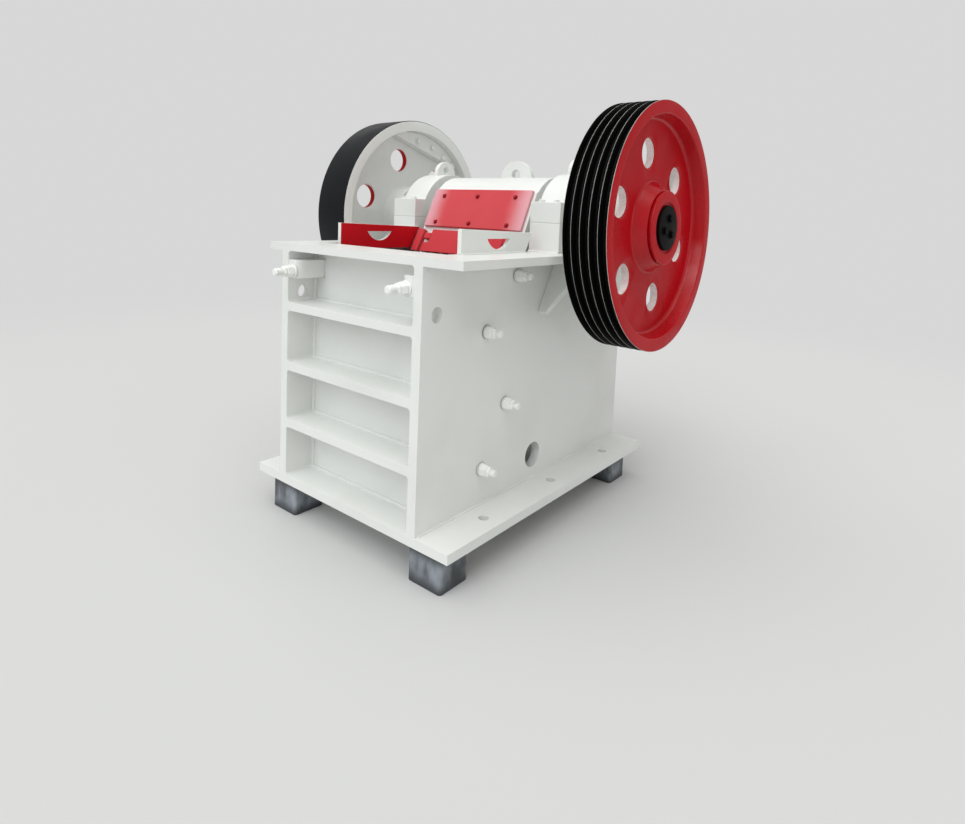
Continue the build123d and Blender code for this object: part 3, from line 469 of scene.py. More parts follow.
# Grey enamel for worn crests and edge on the sheave and bare washers on the cheek bolts; on the crests and
# edge it also paints thin highlights, on the washers contact shade at the nuts' feet.
WORN_GREY_AND_PAINTED_LIGHT = Enamel("worn_grey_and_painted_light", (0.47, 0.47, 0.45), (0.32, 0.31, 0.30), 0.4,
              speck=(0.10, 0.09, 0.08), gloss=0.4, clouds=Grain(12.0, 5.0, 0.42, 0.74))
# Feet: dark slate with pale streaks low down that paint a reflection.
SLATE = ReflectionStreakedPaint("slate_paint", (0.040, 0.045, 0.051), (0.30, 0.33, 0.37), 0.42, low=0.0, high=0.12)
MANGANESE = CastSteel("manganese_steel", (0.16, 0.155, 0.15), (0.13, 0.085, 0.055), 0.55, metal=0.75)
FORGED = CastSteel("forged_steel", (0.21, 0.205, 0.20), (0.12, 0.09, 0.065), 0.42, metal=0.85)
SPRING_STEEL = CastSteel("spring_steel", (0.05, 0.05, 0.055), (0.09, 0.06, 0.04), 0.4, metal=0.6)
SHAFT_STEEL = TurnedSteel("shaft_steel", (0.58, 0.57, 0.55), (0.42, 0.41, 0.39), 0.3)

FaceRule = Callable[[Vector, Vector], Finish]


@cache
def material_of(finish: Finish) -> bpy.types.Material:
    """The material of a finish, which is mixed once."""
    return finish.material()


class GeometryTree(NodeGraph):
    """A geometry node tree while it is being built, with named size inputs."""

    def __init__(self, name: str) -> None:
        """Start a tree with one geometry in and one out.

        Args:
            name: The tree's name.
        """
        super().__init__(bpy.data.node_groups.new(name, "GeometryNodeTree"))
        for way in ("INPUT", "OUTPUT"):
            self.tree.interface.new_socket("Geometry", in_out=way, socket_type="NodeSocketGeometry")
        self.source = self.add("NodeGroupInput")
        self.result = self.add("NodeGroupOutput")
        self.identifiers: dict[str, str] = {}

    def size(self, name: str, kind: str = "NodeSocketFloat") -> Socket:
        """Add a named input.

        Args:
            name: The input's name.
            kind: Its socket type.

        Returns:
            The socket inside the tree.
        """
        item = self.tree.interface.new_socket(name, in_out="INPUT", socket_type=kind)
        self.identifiers[name] = item.identifier
        return self.source.outputs[name]

    def sizes(self, *names: str) -> list[Socket]:
        """Add several named lengths."""
        return [self.size(name) for name in names]

    def blend(self, share: object, first: object, second: object) -> Socket:
        """A value between two values, by the share of the second."""
        rest = self.math("SUBTRACT", 1.0, share)
        return self.math("ADD", self.math("MULTIPLY", first, rest), self.math("MULTIPLY", second, share))

    def prism(self, sides: object, radius: object, height: object, chamfer: object, base: object) -> Socket:
        """A bar along z with both end edges chamfered.

        Args:
            sides: Number of sides.
            radius: Radius at its corners.
            height: Length along z.
            chamfer: Size of the chamfers.
            base: z of its lower end.

        Returns:
            The bar's geometry.
        """
        bar = self.add("GeometryNodeMeshCylinder", {
            "Vertices": sides, "Side Segments": 3, "Radius": radius, "Depth": height}, fill_type="NGON")
        place = self.add("GeometryNodeInputPosition").outputs[0]
        axes = self.add("ShaderNodeSeparateXYZ", {0: place}).outputs
        half, quarter = self.math("MULTIPLY", height, 0.5), self.math("MULTIPLY", height, 0.25)
        at_end = self.math("GREATER_THAN", self.math("ABSOLUTE", axes["Z"]), quarter)
        rise = self.blend(at_end, self.math("SUBTRACT", half, chamfer), half)
        rise = self.math("MULTIPLY", rise, self.math("SIGN", axes["Z"]))
        shrink = self.math("DIVIDE", self.math("SUBTRACT", radius, chamfer), radius)
        scale = self.blend(at_end, 1.0, shrink)
        shaped = self.add("ShaderNodeCombineXYZ", {
            "X": self.math("MULTIPLY", axes["X"], scale), "Y": self.math("MULTIPLY", axes["Y"], scale),
            "Z": self.math("ADD", rise, self.math("ADD", half, base)),
        })
        return self.add("GeometryNodeSetPosition", {
            "Geometry": bar.outputs["Mesh"], "Position": shaped.outputs[0]}).outputs[0]

    def circle(self, steps: int, radius: object) -> Socket:
        """A flat round curve."""
        return self.add("GeometryNodeCurvePrimitiveCircle", {
            "Resolution": steps, "Radius": radius}).outputs[0]

    def coil(self, steps: int, turns: object, radius: object, length: object) -> Socket:
        """A curve that winds up the z axis, with some steps to the turn."""
        return self.add("GeometryNodeCurveSpiral", {
            "Resolution": steps, "Rotations": turns, "Start Radius": radius, "End Radius": radius,
            "Height": length}).outputs[0]

    def swept(self, curve: Socket, profile: Socket, caps: bool = True) -> Socket:
        """A profile drawn along a curve."""
        return self.add("GeometryNodeCurveToMesh", {
            "Curve": curve, "Profile Curve": profile, "Fill Caps": caps}).outputs[0]

    def raised(self, geometry: Socket, height: object) -> Socket:
        """A geometry moved along z."""
        lift = self.add("ShaderNodeCombineXYZ", {"Z": height}).outputs[0]
        return self.add("GeometryNodeTransform", {"Geometry": geometry, "Translation": lift}).outputs[0]

    def joined(self, pieces: Iterable[Socket]) -> Socket:
        """Several geometries as one.

        Args:
            pieces: The geometries.

        Returns:
            The one that holds them all.
        """
        node = self.add("GeometryNodeJoinGeometry")
        for piece in pieces:
            self.tree.links.new(piece, node.inputs[0])
        return node.outputs[0]

    def close(self, geometry: Socket, smooth: bool) -> None:
        """End the tree in realized, painted geometry.

        Args:
            geometry: The geometry to hand out.
            smooth: Whether its faces are shaded smooth.
        """
        coat = self.size("Coat", "NodeSocketMaterial")
        real = self.add("GeometryNodeRealizeInstances", {0: geometry})
        shaded = self.add("GeometryNodeSetShadeSmooth", {"Geometry": real.outputs[0], "Shade Smooth": smooth})
        painted = self.add("GeometryNodeSetMaterial", {"Geometry": shaded.outputs[0], "Material": coat})
        self.feed(self.result.inputs["Geometry"], painted.outputs[0])

    def run(self, name: str, seed_mesh: bpy.types.Mesh, finish: Finish, sizes: dict[str, object]) -> Piece:
        """Run the tree over a mesh and keep the result as a plain mesh.

        Args:
            name: The new piece's name.
            seed_mesh: Points or edges that the tree works on.
            finish: The piece's finish.
            sizes: A value for each named input.

        Returns:
            The finished object, with no modifier left.
        """
        seed = linked(name, seed_mesh)
        modifier = seed.modifiers.new("nodes", "NODES")
        modifier.node_group = self.tree
        for key, value in {**sizes, "Coat": material_of(finish)}.items():
            modifier[self.identifiers[key]] = value
        piece = baked(seed)
        paint(piece, [finish])
        return piece


def linked(name: str, data: bpy.types.ID) -> Piece:
    """A new object in the scene.

    Args:
        name: The object's name.
        data: Its mesh, lamp or camera.

    Returns:
        The object, at the origin.
    """
    piece = bpy.data.objects.new(name, data)
    bpy.context.scene.collection.objects.link(piece)
    return piece


def baked(piece: Piece) -> Piece:
    """Work an object's modifiers into a plain mesh.

    Args:
        piece: The object, which is used up.

    Returns:
        A new object of the same name.
    """
    name = piece.name
    piece.name = f"{name}.raw"
    graph = bpy.context.evaluated_depsgraph_get()
    mesh = bpy.data.meshes.new_from_object(
        piece.evaluated_get(graph), preserve_all_data_layers=True, depsgraph=graph)
    mesh.name = name
    bpy.data.objects.remove(piece)
    return linked(name, mesh)


def object_from(name: str, build: bmesh.types.BMesh) -> Piece:
    """Turn a bmesh into an object in the scene.

    Args:
        name: The object's name.
        build: The mesh under construction, which is freed.

    Returns:
        The object.
    """
    mesh = bpy.data.meshes.new(name)
    build.to_mesh(mesh)
    build.free()
    return linked(name, mesh)


def solid_from(name: str, build: bmesh.types.BMesh) -> Piece:
    """Turn a bmesh of closed solids into an object, with every face turned outwards."""
    bmesh.ops.recalc_face_normals(build, faces=build.faces)
    return object_from(name, build)


def loft(build: bmesh.types.BMesh, rings: Sequence[Sequence[bmesh.types.BMVert]], looped: bool) -> None:
    """Join rings of points by faces.

    Args:
        build: The mesh under construction.
        rings: The rings, each with the same number of points.
        looped: Whether the last ring joins the first; otherwise both ends are closed.
    """
    if not looped:
        build.faces.new(rings[0])
        build.faces.new(rings[-1])
    for here, there in zip(rings, [*rings[1:], rings[0]] if looped else rings[1:]):
        for index in range(len(here)):
            follow = (index + 1) % len(here)
            build.faces.new((here[index], here[follow], there[follow], there[index]))


def angles(count: int, first: float = 0.0) -> list[float]:
    """Evenly spaced angles in radians, from a first one in degrees."""
    return [math.radians(first + index * 360 / count) for index in range(count)]


def round_axis(centre: Vector, x: float, reach: float, angle: float) -> Vector:
    """A point at an angle from straight up, round an axis along x."""
    return Vector((x, centre.y + reach * math.sin(angle), centre.z + reach * math.cos(angle)))


def middle_of(node: str) -> Vector:
    """The middle of a CAD node's box."""
    return Vector([(low + high) / 2 for low, high in zip(*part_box(node))])


def radius_of(node: str) -> float:
    """Half the height of a CAD node's box."""
    low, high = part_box(node)
    return (high[2] - low[2]) / 2


def points_mesh(name: str, places: Sequence[Spot]) -> bpy.types.Mesh:
    """A mesh of loose points, each with the direction that a bolt stands in.

    Args:
        name: The mesh's name.
        places: Pairs of point and direction.

    Returns:
        The mesh.
    """
    mesh = bpy.data.meshes.new(name)
    mesh.from_pydata([tuple(place) for place, _ in places], [], [])
    stand = mesh.attributes.new("stand", "FLOAT_VECTOR", "POINT")
    for index, (_, direction) in enumerate(places):
        stand.data[index].vector = direction
    return mesh


def lines_mesh(name: str, lines: Sequence[Line]) -> bpy.types.Mesh:
    """A mesh of separate straight edges.

    Args:
        name: The mesh's name.
        lines: Pairs of end points.

    Returns:
        The mesh.
    """
    mesh = bpy.data.meshes.new(name)
    points = [point for line in lines for point in line]
    mesh.from_pydata(points, [(index, index + 1) for index in range(0, len(points), 2)], [])
    return mesh


def merged_copy(node: str, name: str) -> Piece:
    """A copy of a CAD node's mesh with its loose triangles joined and its flat faces merged.

    Args:
        node: The node's name.
        name: Name of the copy.

    Returns:
        The copy.
    """
    build = bmesh.new()
    build.from_mesh(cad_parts[node].data)
    bmesh.ops.remove_doubles(build, verts=build.verts, dist=MERGE_DISTANCE)
    bmesh.ops.dissolve_limit(build, angle_limit=FLAT_ANGLE, verts=build.verts, edges=build.edges)
    return object_from(name, build)


def snapped(piece: Piece) -> Piece:
    """Round a piece's points to a hundredth of a millimetre and merge its flat faces.

    Args:
        piece: The object, changed in place.

    Returns:
        The same object.
    """
    build = bmesh.new()
    build.from_mesh(piece.data)
    for vertex in build.verts:
        vertex.co = [round(value, SNAP_DIGITS) for value in vertex.co]
    bmesh.ops.remove_doubles(build, verts=build.verts, dist=MERGE_DISTANCE)
    bmesh.ops.dissolve_degenerate(build, edges=build.edges, dist=SLIVER)
    bmesh.ops.dissolve_limit(build, angle_limit=FLAT_ANGLE, verts=build.verts, edges=build.edges)
    build.to_mesh(piece.data)
    build.free()
    return piece


def soften(piece: Piece, width: float, segments: int = 2) -> Piece:
    """Round a piece's edges and shade it so that flat faces stay flat.

    Args:
        piece: The object, which is used up.
        width: Width of the rounding.
        segments: Steps of the rounding.

    Returns:
        The softened object.
    """
    bevel = piece.modifiers.new("edges", "BEVEL")
    bevel.width = width
    bevel.segments = segments
    bevel.limit_method = "ANGLE"
    bevel.angle_limit = BEVEL_ANGLE
    bevel.use_clamp_overlap = True
    bevel.miter_outer = "MITER_ARC"
    piece.data.shade_smooth()
    weigh = piece.modifiers.new("normals", "WEIGHTED_NORMAL")
    weigh.weight = FLAT_WEIGHT
    weigh.keep_sharp = True
    return baked(piece)


def combine(piece: Piece, other: Piece, how: Joining) -> Piece:
    """Join one object to another or cut it out.

    Args:
        piece: The object, which is used up.
        other: What is added or cut away, which is used up.
        how: Which of the two.

    Returns:
        The new object.
    """
    work = piece.modifiers.new("work", "BOOLEAN")
    work.operation, work.solver = how.value
    work.object = other
    result = baked(piece)
    bpy.data.objects.remove(other)
    return result


def paint(piece: Piece, finishes: Sequence[Finish], rule: FaceRule | None = None) -> None:
    """Give a piece its finishes, by face where there is a rule.

    Args:
        piece: The object.
        finishes: Its finishes, in slot order.
        rule: Returns the finish of a face from its middle and its normal.
    """
    piece.data.materials.clear()
    for finish in finishes:
        piece.data.materials.append(material_of(finish))
    order = {finish.name: index for index, finish in enumerate(finishes)}
    for face in piece.data.polygons:
        face.material_index = order[rule(face.center, face.normal).name] if rule else 0


def fit(piece: Piece, body: Body, nodes: Sequence[str] = ()) -> None:
    """Hang a finished piece on its body and report it.

    Args:
        piece: The finished object.
        body: Body that it rides on.
        nodes: CAD nodes that it stands for.
    """
    if nodes:
        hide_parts(*nodes)
    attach(piece, body.value)
    LOG.info("%s on %s: %d faces", piece.name, body.value, len(piece.data.polygons))


def dress(node: str, body: Body, width: float, finish: Finish, segments: int = 2) -> None:
    """Stand a soft-edged, painted copy in for a CAD node.

    Args:
        node: The node's name.
        body: Body that it belongs to.
        width: Rounding of its edges.
        finish: Its finish.
        segments: Steps of the rounding.
    """
    piece = soften(merged_copy(node, f"{node}_dressed"), width, segments)
    paint(piece, [finish])
    fit(piece, body, [node])


def rounded(points: Sequence[Point3]) -> list[Point2]:
    """Round the corners of a closed outline.

    Args:
        points: Corners as two coordinates and a radius.

    Returns:
        The outline's points.
    """
    outline: list[Point2] = []
    for index, (x, y, radius) in enumerate(points):
        corner = Vector((x, y))
        before = Vector(points[index - 1][:2]) - corner
        after = Vector(points[(index + 1) % len(points)][:2]) - corner
        half_angle = before.angle(after) / 2 if before.length and after.length else math.pi / 2
        cut = radius / math.tan(half_angle) if radius else 0.0
        if cut <= NO_CUT or half_angle > STRAIGHT_HALF_ANGLE:
            outline.append((x, y))
            continue
        cut = min(cut, before.length * CORNER_REACH, after.length * CORNER_REACH)
        start, end = corner + before.normalized() * cut, corner + after.normalized() * cut
        for step in range(CORNER_STEPS + 1):
            share = step / CORNER_STEPS
            outline.append(tuple(start.lerp(corner, share).lerp(corner.lerp(end, share), share)))
    return outline


def turned(name: str, outline: Sequence[Point2], centre: Vector, segments: int) -> Piece:
    """A closed ring turned about the x axis through a point.

    Args:
        name: The object's name.
        outline: Closed outline as x and radius.
        centre: A point on the axis.
        segments: Steps round the axis.

    Returns:
        The object.
    """
    build = bmesh.new()
    loft(build, [[build.verts.new(round_axis(centre, x, reach, angle)) for x, reach in outline]
                 for angle in angles(segments)], True)
    return solid_from(name, build)


def shade_by_angle(piece: Piece) -> None:
    """Shade a piece smooth, apart from its sharp edges."""
    piece.data.shade_smooth()
    piece.data.set_sharp_from_angle(angle=SHARP_ANGLE)


@dataclass
class BoltMaker:
    """Hex bolts, nuts on studs and weld beads from geometry nodes."""

    spin_seed: int = 7
    round_sides: int = 24
    stud_washer_sides: int = 32
    stud_washer_chamfer: float = 0.25
    stud_core: float = 0.95
    thread_steps: int = 18
    thread_height: float = 0.36
    head_chamfer: float = 0.22
    washer_chamfer: float = 0.3
    washer_width: float = 1.35
    washer_height: float = 0.28
    weld_step: float = 0.006
    ripple_pitch: float = 0.021
    ripple_depth: float = 0.02
    stray_scale: float = 38.0
    stray_gain: float = 3.0
    bead_inset: float = 0.2

    def __post_init__(self) -> None:
        """Build the trees."""
        self.stud_tree = self.make_stud_tree()
        self.head_tree = self.make_head_tree()
        self.weld_tree = self.make_weld_tree()

    def on_points(self, tree: GeometryTree, bolt: Socket) -> Socket:
        """Stand a bolt on each point, turned by a fixed random angle.

        Args:
            tree: The tree under construction.
            bolt: The bolt's geometry.

        Returns:
            The instances.
        """
        stand = tree.add("GeometryNodeInputNamedAttribute", {"Name": "stand"}, data_type="FLOAT_VECTOR")
        spin = tree.add("FunctionNodeRandomValue", {"Seed": self.spin_seed}, data_type="FLOAT")
        least, most = [socket for socket in spin.inputs if socket.type == "VALUE"][:2]
        least.default_value = 0.0
        most.default_value = math.pi / 3
        about = tree.add("FunctionNodeAxisAngleToRotation", {
            "Axis": (0.0, 0.0, 1.0),
            "Angle": next(socket for socket in spin.outputs if socket.type == "VALUE"),
        })
        aim = tree.add("FunctionNodeAlignRotationToVector", {"Vector": stand.outputs["Attribute"]}, axis="Z")
        turn = tree.add("FunctionNodeRotateRotation", {0: aim.outputs[0], 1: about.outputs[0]},
                        rotation_space="LOCAL")
        return tree.add("GeometryNodeInstanceOnPoints", {
            "Points": tree.source.outputs["Geometry"], "Instance": bolt, "Rotation": turn.outputs[0],
        }).outputs[0]

    def make_stud_tree(self) -> GeometryTree:
        """Stud with a washer, a nut, a locknut and a threaded end.

        Returns:
            The tree.
        """
        tree = GeometryTree("nut_on_stud")
        stud, reach, chamfer, pitch = tree.sizes("Stud Radius", "Reach", "Chamfer", "Thread Pitch")
        nut, nut_height = tree.sizes("Nut Radius", "Nut Height")
        lock, lock_height = tree.sizes("Locknut Radius", "Locknut Height")
        washer, washer_height = tree.sizes("Washer Radius", "Washer Height")
        nut_top = tree.math("ADD", washer_height, nut_height)
        lock_top = tree.math("ADD", nut_top, lock_height)
        bare = tree.math("SUBTRACT", tree.math("SUBTRACT", reach, lock_top), chamfer)
        turns = tree.math("DIVIDE", bare, pitch)
        spiral = tree.coil(self.thread_steps, turns, stud, tree.math("MULTIPLY", turns, pitch))
        crest = tree.circle(4, tree.math("MULTIPLY", pitch, self.thread_height))
        edge = tree.math("MULTIPLY", washer_height, self.stud_washer_chamfer)
        bolt = tree.joined([
            tree.prism(self.stud_washer_sides, washer, washer_height, edge, 0.0),
            tree.prism(6, nut, nut_height, chamfer, washer_height),
            tree.prism(6, lock, lock_height, chamfer, nut_top),
            tree.prism(self.round_sides, tree.math("MULTIPLY", stud, self.stud_core), reach, chamfer, 0.0),
            tree.raised(tree.swept(spiral, crest), lock_top),
        ])
        tree.close(self.on_points(tree, bolt), False)
        return tree

    def make_head_tree(self) -> GeometryTree:
        """Bolt head on a flat washer.

        Returns:
            The tree.
        """
        tree = GeometryTree("hex_head")
        head, height = tree.sizes("Head Radius", "Head Height")
        washer, washer_height = tree.sizes("Washer Radius", "Washer Height")
        sides = tree.size("Sides", "NodeSocketInt")
        edge = tree.math("MULTIPLY", washer_height, self.washer_chamfer)
        bolt = tree.joined([
            tree.prism(self.round_sides, washer, washer_height, edge, 0.0),
            tree.prism(sides, head, height, tree.math("MULTIPLY", height, self.head_chamfer), washer_height),
        ])
        tree.close(self.on_points(tree, bolt), False)
        return tree

    def make_weld_tree(self) -> GeometryTree:
        """Fillet weld along edges: a flat-faced bead with a slow, uneven ripple.

        Returns:
            The tree.
        """
        tree = GeometryTree("weld_bead")
        leg, step, pitch, depth = tree.sizes("Leg", "Step", "Ripple Pitch", "Ripple Depth")
        line = tree.add("GeometryNodeMeshToCurve", {0: tree.source.outputs["Geometry"]}).outputs[0]
        fine = tree.add("GeometryNodeResampleCurve", {
            "Curve": line, "Length": step}, mode="LENGTH").outputs[0]
        upright = tree.add("GeometryNodeSetCurveNormal", {0: fine}, mode="Z_UP").outputs[0]
        along = tree.add("GeometryNodeSplineParameter").outputs["Length"]
        wave = tree.math("SINE", tree.math("MULTIPLY", tree.math("DIVIDE", along, pitch), 2 * math.pi))
        stray = tree.add("ShaderNodeTexNoise", {"Scale": self.stray_scale, "Detail": 2.0}).outputs[0]
        uneven = tree.math("MULTIPLY", tree.math("SUBTRACT", stray, 0.5), self.stray_gain)
        swell = tree.math("MULTIPLY", tree.math("ADD", wave, uneven), depth)
        corner = tree.math("MODULO", tree.add("GeometryNodeInputIndex").outputs[0], 2.0)
        inward = tree.math("SUBTRACT", 1.0, tree.math("MULTIPLY", corner, self.bead_inset))
        place = tree.add("ShaderNodeVectorMath", {
            0: tree.add("GeometryNodeInputPosition").outputs[0], "Scale": inward}, operation="SCALE")
        profile = tree.add("GeometryNodeSetPosition", {
            "Geometry": tree.circle(8, leg), "Position": place.outputs[0]}).outputs[0]
        bead = tree.swept(upright, profile)
        tree.feed(bead.node.inputs["Scale"], tree.math("ADD", 1.0, swell))
        tree.close(bead, True)
        return tree

    def studs(self, name: str, places: Sequence[Spot], finish: Finish, sizes: dict[str, float]) -> Piece:
        """Studs with nuts at some points and directions."""
        return self.stud_tree.run(name, points_mesh(name, places), finish, sizes)

    def heads(self, name: str, places: Sequence[Spot], finish: Finish, radius: float, height: float,
              sides: int = 6) -> Piece:
        """Bolt heads on washers at some points and directions, by the radius over the head's corners."""
        return self.head_tree.run(name, points_mesh(name, places), finish, {
            "Head Radius": radius, "Head Height": height, "Washer Radius": radius * self.washer_width,
            "Washer Height": height * self.washer_height, "Sides": sides})

    def welds(self, name: str, lines: Sequence[Line], leg: float, finish: Finish) -> Piece:
        """Fillet welds along straight lines."""
        return self.weld_tree.run(name, lines_mesh(name, lines), finish, {
            "Leg": leg, "Step": self.weld_step, "Ripple Pitch": self.ripple_pitch,
            "Ripple Depth": self.ripple_depth})


@dataclass
class WeldedFrame:
    """Plates, ribs, sills, gussets and wedge blocks of the frame, with their welds and bolts."""

    makers: BoltMaker
    plate_edge: float = 0.004
    plate_steps: int = 3
    gusset_edge: float = 0.004
    block_edge: float = 0.003
    weld_leg: float = 0.009
    fine_leg: float = 0.006
    weld_inset: float = 0.012
    guard_weld_front: float = 0.004
    guard_weld_rear: float = 0.045
    corner_radius: float = 0.012
    corner_sink: float = 0.002
    corner_steps: int = 6
    group_reach: float = 2.2
    washer_skin: float = 0.0001
    stud_sizes: dict[str, float] = field(default_factory=lambda: {
        "Stud Radius": 0.0130, "Nut Radius": 0.0222, "Nut Height": 0.027, "Locknut Radius": 0.0195,
        "Locknut Height": 0.013, "Washer Radius": 0.0248, "Washer Height": 0.006, "Chamfer": 0.0026,
        "Thread Pitch": 0.0035,
    })

    def build(self) -> None:
        """Make the whole frame."""
        self.body()
        self.dress_plates()
        self.weld()
        self.bolt_blocks()
        self.bolt_cheeks()

    def body(self) -> None:
        """Side plates, walls, ribs, sills, flanges and top plate as the one welded body that they are."""
        nodes = ["right_side_plate", "left_side_plate", "front_wall", "front_rib_upper", "front_rib_middle",
                 "front_rib_lower", "front_sill", "rear_wall", "rear_ribs", "rear_sill", "right_base_flange",
                 "left_base_flange", "top_plate_front", "top_plate_right", "top_plate_left"]
        body = snapped(merged_copy(nodes[0], "welded_body"))
        for node in nodes[1:]:
            body = combine(body, snapped(merged_copy(node, f"{node}.part")), Joining.ADD)
        body = combine(body, self.corner_fillets(), Joining.ADD)
        body = soften(snapped(body), self.plate_edge, self.plate_steps)
        paint(body, [WHITE])
        fit(body, Body.FRAME, nodes)

    def bays(self) -> list[tuple[float, float, float, float]]:
        """The open bays in the front and the rear, between the side plates.

        Returns:
            y of the open side, y of the back, z of the floor and z of the ceiling of each.
        """
        ribs = [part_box(f"front_rib_{name}") for name in ("lower", "middle", "upper")]
        wall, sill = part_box("front_wall"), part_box("front_sill")
        floors = [sill[1][2]] + [rib[1][2] for rib in ribs]
        ceilings = [rib[0][2] for rib in ribs] + [wall[1][2]]
        bays = [(ribs[0][0][1], wall[0][1], low, high) for low, high in zip(floors, ceilings)]
        rear, rear_sill, rear_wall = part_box("rear_ribs"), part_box("rear_sill"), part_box("rear_wall")
        thickness = ribs[0][1][2] - ribs[0][0][2]
        for low, high in ((rear_sill[1][2], rear[0][2]), (rear[0][2] + thickness, rear[1][2] - thickness)):
            bays.append((rear[1][1], rear_wall[1][1], low, high))
        return bays

    def corner_fillets(self) -> Piece:
        """Concave rounds in the four corners of each bay.

        Returns:
            All of them as one object.
        """
        half, radius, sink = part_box("right_side_plate")[0][0], self.corner_radius, self.corner_sink
        outline = [(-sink, -sink), (radius, -sink), (radius, 0.0)]
        for angle in angles(4 * self.corner_steps)[1:self.corner_steps + 1]:
            outline.append((radius * (1 - math.sin(angle)), radius * (1 - math.cos(angle))))
        outline.append((-sink, radius))
        build = bmesh.new()
        for y_open, y_back, low, high in self.bays():
            for x_sign in (-1, 1):
                for z, z_sign in ((low, 1), (high, -1)):
                    ends = [[(x_sign * (half - u), y, z + z_sign * v) for u, v in outline]
                            for y in (y_open, y_back)]
                    loft(build, [[build.verts.new(point) for point in end] for end in ends], False)
        return solid_from("bay_corners", build)

    def dress_plates(self) -> None:
        """Soft-edged white copies of the gussets and blocks."""
        dress("bearing_gussets", Body.FRAME, self.gusset_edge, WHITE)
        for node in ("right_wedge_block", "left_wedge_block", "toggle_seat"):
            dress(node, Body.FRAME, self.block_edge, WHITE)

    def bay_lines(self) -> list[Line]:
        """Weld lines round the back of each bay.

        Returns:
            Pairs of end points.
        """
        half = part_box("right_side_plate")[0][0]
        lines: list[Line] = []
        for _, y_back, low, high in self.bays():
            lines += [((-half, y_back, z), (half, y_back, z)) for z in (low, high)]
            lines += [((x, y_back, low), (x, y_back, high)) for x in (-half, half)]
        return lines

    def outside_lines(self) -> list[Line]:
        """Weld lines along the side plates, guards, housings and wedge blocks.

        Returns:
            Pairs of end points.
        """
        plate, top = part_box("right_side_plate"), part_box("top_plate_right")
        levels = (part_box("right_base_flange")[1][2], top[0][2])
        y_front, y_rear = plate[0][1] + self.weld_inset, plate[1][1] - self.weld_inset
        lines: list[Line] = []
        for side in Side:
            x = side.sign * plate[1][0]
            lines += [((x, y_front, z), (x, y_rear, z)) for z in levels]
            low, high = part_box(f"{side.value}_feed_guard")
            y_low, y_high, z = low[1] + self.guard_weld_front, high[1] - self.guard_weld_rear, top[1][2]
            faces = (low[0], high[0]) if side is Side.RIGHT else (low[0],)
            lines += [((x, y_low, z), (x, y_high, z)) for x in faces]
            low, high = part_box(f"{side.value}_bearing_base")
            lines += [((low[0], y, low[2]), (high[0], y, low[2])) for y in (low[1], high[1])]
            # The left block's two lines have no length, so that block carries no bead.
            low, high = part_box(f"{side.value}_wedge_block")
            start = low[0] if side is Side.RIGHT else high[0]
            lines += [((start, high[1], z), (high[0], high[1], z)) for z in (low[2], high[2])]
        return lines

    def weld(self) -> None:
        """Run the beads along the plates' joints."""
        for name, lines, leg in (("frame_welds", self.bay_lines(), self.weld_leg),
                                 ("fine_welds", self.outside_lines(), self.fine_leg)):
            fit(self.makers.welds(name, lines, leg, WHITE), Body.FRAME)

    def bolt_blocks(self) -> None:
        """Nuts on studs through the wedge blocks."""
        low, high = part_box("wedge_bolts")
        radius, seat, height = radius_of("wedge_bolts"), high[1], middle_of("wedge_bolts").z
        places = [(Vector((x, seat, height)), Vector((0, -1, 0)))
                  for x in (low[0] + radius, high[0] - radius)]
        sizes = {**self.stud_sizes, "Reach": seat - low[1]}
        studs = self.makers.studs("wedge_bolts_dressed", places, BOLT_WHITE, sizes)
        fit(studs, Body.FRAME, ["wedge_bolts"])

    def bolt_cheeks(self) -> None:
        """Nuts on studs through the side plates, on washers of bare steel grey, which also paints contact
        shade at the nuts' feet.
        """
        for side in Side:
            node = f"{side.value}_cheek_bolts"
            low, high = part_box(node)
            seat, _ = side.outward(low[0], high[0])
            out = Vector((side.sign, 0, 0))
            places = [(Vector((seat, y, z)), out) for y, z in self.bolt_centres(node)]
            sizes = {**self.stud_sizes, "Reach": high[0] - low[0]}
            studs = self.makers.studs(f"{node}_dressed", places, BOLT_WHITE, sizes)
            top = abs(seat) + self.stud_sizes["Washer Height"] - self.washer_skin

            def rule(middle: Vector, _: Vector, top: float = top) -> Finish:
                """Bare steel grey on the washers, which also paints contact shade at the nuts' feet."""
                return WORN_GREY_AND_PAINTED_LIGHT if abs(middle.x) < top else BOLT_WHITE

            # The washers' grey is bare steel and also painted contact shade.
            paint(studs, [BOLT_WHITE, WORN_GREY_AND_PAINTED_LIGHT], rule)
            fit(studs, Body.FRAME, [node])

    def bolt_centres(self, node: str) -> list[Point2]:
        """Centres of a group of bolts along x, from their CAD solids.

        Args:
            node: The node that holds the bolts.

        Returns:
            The y and z of each bolt.
        """
        near = self.group_reach * radius_of("wedge_bolts")
        groups: list[list[Vector]] = []
        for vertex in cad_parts[node].data.vertices:
            flat = vertex.co.yz
            group = next((g for g in groups if (g[0] - flat).length < near), None)
            if group is None:
                groups.append([flat])
            else:
                group.append(flat)
        return [tuple((min(axis) + max(axis)) / 2 for axis in zip(*group)) for group in groups]


